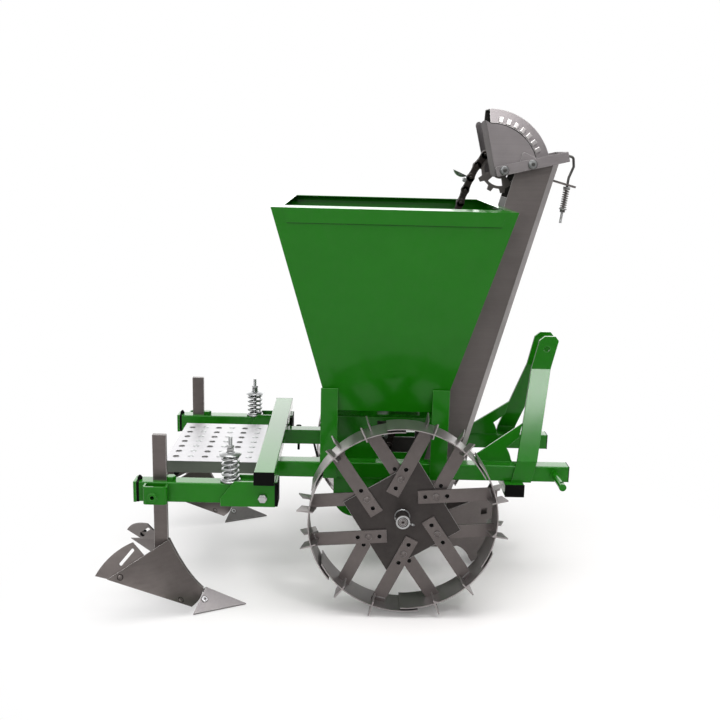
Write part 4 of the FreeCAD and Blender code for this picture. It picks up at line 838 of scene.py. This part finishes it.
def hub_fittings():
    """Washer at the boss's foot, the turned axle end with black rings of painted shade in its grooves, and the split
    pin that keeps the wheel on.
    """
    for side, sign in SIDES.items():
        out = Vector((0, sign, 0))
        mesh, dark = bmesh.new(), bmesh.new()
        centre = Vector((AXLE.x, 0, AXLE.z))
        merge_in(mesh, washer(0.0232, 0.0206, 0.006), frame_at(at_depth(centre, sign * 0.3691), out))
        merge_in(mesh, ring(0.0219, 0.0012), frame_at(at_depth(centre, sign * 0.3752), out))
        merge_in(mesh, washer(0.0204, 0.0156, 0.0008), frame_at(at_depth(centre, sign * 0.416), out))
        for radius in (0.0118, 0.0072):
            merge_in(mesh, ring(radius, 0.0005, 28, 6), frame_at(at_depth(centre, sign * BOSS_END), out))
        # painted shade: thin black rings in the turned grooves and a black spot at the centre
        for radius, inner in ((0.0154, 0.0138), (0.0028, 0.0001)):
            merge_in(dark, washer(radius, inner, 0.0003), frame_at(at_depth(centre, sign * BOSS_END), out))
        toward = Vector((math.cos(math.radians(-21)), 0, math.sin(math.radians(-21))))
        pin = at_depth(centre, sign * 0.405)
        for shift in (-0.0011, 0.0011):
            merge_in(mesh, rod(0.0011, 0.052, 8), frame_at(pin + toward * 0.001 + out * shift, toward))
        merge_in(mesh, ring(0.0048, 0.0017, 16, 8), frame_at(pin + toward * 0.0315, toward.cross(out) + out * 0.8))
        finished(mesh, "hub_fittings_" + side, ZINC, "wheels", "zinc_plate")
        finished(dark, "hub_groove_shade_" + side, BLACK, "wheels", "black_plastic")


def bead(mesh, start, end, size, lumps=0):
    """A run of overlapping weld lumps between two places."""
    start, end = Vector(start), Vector(end)
    count = lumps or max(2, int((end - start).length / (size * 0.8)))
    for index in range(count + 1):
        part = bmesh.new()
        swell = 0.85 + 0.2 * math.sin(2.3 * index + start.x * 90)
        bmesh.ops.create_icosphere(part, subdivisions=2, radius=size * swell)
        merge_in(mesh, part, Matrix.Translation(start.lerp(end, index / count)))


def wheel_welds():
    """Beads where the spokes meet the rim and where the blades pass through it."""
    for side, sign in SIDES.items():
        mesh = bmesh.new()
        for index in range(6):
            for layer in (1, -1):
                y = sign * (WHEEL_Y + layer * 0.0082)
                reach = 0.266 + 0.003 * math.sin(index + layer)
                offset = -layer * sign * SPOKE_OFFSET
                ends = [on_wheel(side, layer, index, math.sqrt(reach ** 2 - (offset + shift) ** 2), offset + shift)
                        for shift in (-0.017, 0.017)]
                bead(mesh, at_depth(ends[0], y), at_depth(ends[1], y), 0.0026)
            for spread in (-11, 11):
                for edge in (-1, 1):
                    swing = 2.5 * math.sin(1.7 * index - 2.6)
                    angle = math.radians(60 * index + SPOKE_TURN + spread + edge * sign * swing)
                    for reach in (0.270, 0.279):
                        foot = Vector((AXLE.x + reach * math.cos(angle), 0, AXLE.z + reach * math.sin(angle)))
                        near, far = (at_depth(foot, sign * WHEEL_Y + edge * shift) for shift in (0.016, 0.034))
                        bead(mesh, near, far, 0.0027, 3)
        finished(mesh, "wheel_welds_" + side, BEAD, "wheels", "wheel_steel", crease=80)


# ------------------------------------------------------------------ elevator head
def flat_piece(outline, low, high):
    """A plate with a given outline in XZ, from one depth to another."""
    part = bmesh.new()
    face = part.faces.new([part.verts.new((p.x, low, p.z)) for p in outline])
    made = bmesh.ops.extrude_face_region(part, geom=[face])
    moved(part, new_verts(made), Matrix.Translation((0, high - low, 0)))
    bmesh.ops.recalc_face_normals(part, faces=part.faces)
    return part


def head_details():
    """Crimps along the cowl's joint, the stays above the yoke and the yoke's bolts with their ends."""
    crimps, stays, bolts, stubs = (bmesh.new() for _ in range(4))
    slope = math.atan2(25, 41.7)
    for sign in SIDES.values():
        for index in range(7):
            angle = math.radians(79.5 - 8.7 * index)
            radial = Vector((math.cos(angle), 0, math.sin(angle)))
            around = Vector((-math.sin(angle), 0, math.cos(angle)))
            rise = (radial * math.cos(slope) - Vector((0, sign, 0)) * math.sin(slope)).normalized()
            out = (radial * math.sin(slope) + Vector((0, sign, 0)) * math.cos(slope)).normalized()
            seat = COWL_CENTRE + radial * 0.1602 + Vector((0, sign * 0.0691, 0))
            part = bmesh.new()
            bmesh.ops.create_cube(part, size=1.0)
            for v in part.verts:
                tall = 0.0065 if v.co.x > 0 else 0.0022
                narrow = 0.84 if v.co.z > 0 else 1.0
                v.co = Vector((v.co.x * 0.0175, v.co.y * 0.0155 * narrow, tall if v.co.z > 0 else -0.001))
            round_edges(part, 0.0016, 3)
            turn = Matrix((rise, around, out)).transposed().to_4x4()
            if turn.determinant() < 0:
                turn = Matrix((rise, -around, out)).transposed().to_4x4()
            merge_in(crimps, part, Matrix.Translation(seat) @ turn)
        outline = [spot(x, 0, z) for x, z in ((333, 1322), (341, 1351), (346, 1351), (378, 1337), (386, 1318))]
        stay = flat_piece(outline, sign * 0.0754, sign * 0.0797)
        round_edges(stay, 0.0006)
        merge_in(stays, stay)
        lean = math.radians(13.1)
        for along in (0.0, 86.0):
            place = spot(287 + along * math.cos(lean), sign * 86.1, 1297 + along * math.sin(lean))
            out = Vector((0, sign, 0))
            merge_in(bolts, washer(0.0125, 0.0062, 0.0018), frame_at(place, out))
            turned = frame_at(place + out * 0.0018, out) @ Matrix.Rotation(0.3, 4, "Z")
            merge_in(bolts, hexagon(0.0185, 0.0085), turned)
            merge_in(stubs, threaded(0.0052, 0.014, 0.0015), frame_at(place, out))
            merge_in(stubs, washer(0.0142, 0.0125, 0.0012), frame_at(place, out))
    # the crimps carry a painted highlight
    finished(crimps, "cowl_crimps", BRIGHT, slot="grey_steel", crease=60)
    finished(stays, "yoke_stays", HEAD, slot="grey_steel")
    finished(bolts, "yoke_bolts", ZINC, slot="zinc_plate", crease=24)
    finished(stubs, "yoke_bolt_ends", BOLT, slot="grey_steel")


# ------------------------------------------------------------------ ridger gangs
def surface_point(name, place, way):
    """Where a line through a place meets a piece, and the surface's outward direction there."""
    mesh = bmesh.new()
    mesh.from_mesh(frame["nodes"][name].data)
    hit, normal, _, _ = BVHTree.FromBMesh(mesh).ray_cast(place - way * 0.4, way)
    mesh.free()
    return hit, normal


def ridger_details():
    """Flush bolts in the wings and shares, stops before the shanks, and the arms' plugs and closing plates."""
    bolts, rings, heads, stops, plugs, plates = (bmesh.new() for _ in range(6))
    for sign, hand in ((-1, -1), (-1, 1), (1, -1), (1, 1)):
        way = Vector((0, -hand, 0))
        for name, x, z, radius in (("ridger_wings", -803, 143, 0.0095), ("ridger_wings", -642, 49, 0.0095),
                                   ("ridger_shares", -579, 32, 0.0086)):
            hit, normal = surface_point(name, spot(x, sign * ARM_Y, z), way)
            if hit is None:
                continue
            if normal.dot(way) > 0:
                normal = -normal
            in_wing = name == "ridger_wings"
            merge_in(rings if in_wing else bolts, washer(radius, radius * 0.72, 0.001), frame_at(hit, normal))
            merge_in(heads if in_wing else bolts, round_head(radius * 0.74, 0.0012), frame_at(hit, normal))
            if not in_wing:
                merge_in(rings, washer(radius * 1.22, radius * 0.98, 0.0009), frame_at(hit, normal))
                merge_in(rings, washer(radius * 0.4, radius * 0.1, 0.002), frame_at(hit, normal))
    for sign in SIDES.values():
        y = sign * ARM_Y
        merge_in(stops, hexagon(0.026, 0.0125), frame_at(spot(-678, y, 393), UP))
        merge_in(plugs, hexagon(0.013, 0.007), frame_at(spot(-768, y, 393.2), UP))
        merge_in(plugs, round_head(0.0055, 0.0065), frame_at(spot(-768, y, 400), UP))
        rounded_bar(plugs, spot(-774.2, y - 25.5, 332.5), spot(-766, y + 25.5, 393.5), 0.0015)
        rounded_bar(plates, spot(-783, y - 26.5, 331.5), spot(-774, y + 26.5, 394.5), 0.0015)
    finished(rings, "wing_bolts", CHAIN, slot="grey_steel")
    finished(heads, "wing_bolt_heads", PLOUGH, slot="grey_steel")
    finished(bolts, "share_bolts", GALVANISED, slot="zinc_plate")
    finished(stops, "shank_stops", GREEN, slot="green_paint")
    finished(plugs, "arm_plugs", BLACK, slot="black_plastic")
    finished(plates, "arm_end_plates", GREEN, slot="green_paint")


# ------------------------------------------------------------------ platform and frame fittings
def platform_details():
    """Raised rims and dark discs of painted shade at the open holes, domed hoods over the others and the rails
    beneath, in the same unlit steel as painted shade.
    """
    rims, hoods, shade_discs, rails = (bmesh.new() for _ in range(4))
    for column in range(6):
        for row in range(7):
            x = -698 + 45 * column
            y = (row - 3) * 52 + (3 if column % 2 else -3)
            place = spot(x, y, 401)
            if column % 2:
                merge_in(hoods, round_head(0.0104, 0.0026), frame_at(place, UP))
            else:
                merge_in(rims, ring(0.0104, 0.0008, 22, 8), frame_at(place, UP))
                # painted shade: a dark disc fills each open hole where the space below is in shadow
                merge_in(shade_discs, rod(0.0098, 0.0008, 20), frame_at(place - UP * 0.0004, UP))
    # rails beneath in the unlit steel, a painted shade under the step
    for low, high in ((-190, -138), (34, 188)):
        rounded_bar(rails, spot(-722, low, 384), spot(-437, high, 387))
    finished(rims, "step_rims", GALVANISED, slot="perforated_zinc", crease=60)
    finished(hoods, "step_hoods", ZINC, slot="perforated_zinc", crease=60)
    finished(shade_discs, "step_hole_painted_shade", INSIDE, slot="grey_steel")
    finished(rails, "step_rails", INSIDE, slot="grey_steel")


def frame_details():
    """Collars of the hitch pins with black rods as the painted shade of their cross holes, small bolts, black bars of
    painted shade at the bracket edges, a lever and the braces' welds.
    """
    collars, dark, welds = bmesh.new(), bmesh.new(), bmesh.new()
    for sign in SIDES.values():
        y = sign * side_of_tube("main_tube_right" if sign < 0 else "main_tube_left")
        out = Vector((0, sign, 0))
        merge_in(collars, washer(0.0145, 0.0112, 0.005), frame_at(spot(481, y, 376), out))
        # painted shade: a black rod stands for the pin's cross hole
        merge_in(dark, rod(0.0036, 0.0226, 16), frame_at(spot(481, y + sign * 96, 376), (0.25, 0, 1)))
    merge_in(dark, hexagon(0.016, 0.008), frame_at(spot(-336, 208, 393.3), UP))
    merge_in(dark, hexagon(0.013, 0.009), frame_at(spot(-364, 212, 393.3), UP))
    for sign in SIDES.values():
        # painted shade: thin black bars at each bracket's front edge stand for the recess in shadow
        for back, inner in ((-372.5, 383.0), (-366, 317.0)):
            edge = sorted((sign * inner, sign * 385.6))
            rounded_bar(dark, spot(back, edge[0], 330), spot(-363.5, edge[1], 401), 0.0004)
        out = Vector((0, -sign, 0))
        place = spot(-779, sign * 276, 194)
        for way in (out, -out):
            merge_in(dark, hexagon(0.0155, 0.0075), frame_at(place + way * 0.003, way))
        merge_in(dark, threaded(0.0045, 0.026), frame_at(place - out * 0.008, out))
    for place, radius, long in ((spot(-364, 212, 393.3), 0.0038, 0.034), (spot(-336, 208, 312), 0.0045, 0.022)):
        merge_in(dark, threaded(radius, long), frame_at(place, UP))
    lever = bmesh.new()
    rounded_bar(lever, (-0.003, -0.008, -0.038), (0.003, 0.008, 0.024))
    merge_in(dark, lever, Matrix.Translation(spot(-277, 176, 332)) @ Matrix.Rotation(math.radians(-14), 4, "Y"))
    for sign in SIDES.values():
        for face in (-1, 1):
            bead(welds, spot(242, sign * 147 + face * 4.6, 403.2), spot(346, sign * 147 + face * 4.6, 403.2), 0.0022)
    finished(welds, "brace_welds", GREEN, slot="green_paint", crease=80)
    finished(collars, "pin_collars", GREEN, slot="green_paint")
    finished(dark, "dark_bolts_and_painted_shade", BLACK, slot="black_plastic")


def hopper_hem_shadows():
    """A thin dark rod along the folded hem of each side: painted shadow of the lap below the hem."""
    mesh = bmesh.new()
    for sign in SIDES.values():
        start, end = spot(-347.5, sign * 328.4, 1144.3), spot(250, sign * 328.4, 1144.3)
        shadow_line = rod(0.0013, (end - start).length, 10)
        shadow_line.faces.layers.float.new("worn_and_lit_edge")
        merge_in(mesh, shadow_line, frame_at((start + end) / 2, end - start))
    finished(mesh, "hem_shadow_lines", HEM_SHADOW, slot="green_paint")


def side_of_tube(name):
    """How far out a tube reaches, in millimetres."""
    low, high = span(name)
    return max(abs(low.y), abs(high.y)) / MM


place_camera()
light_studio()
lay_floor()
soften_nodes()
fit_springs()
lace_chain()
wheel_bolts()
hub_fittings()
wheel_welds()
head_details()
ridger_details()
platform_details()
frame_details()
hopper_hem_shadows()

bpy.context.scene.view_settings.view_transform = "Standard"
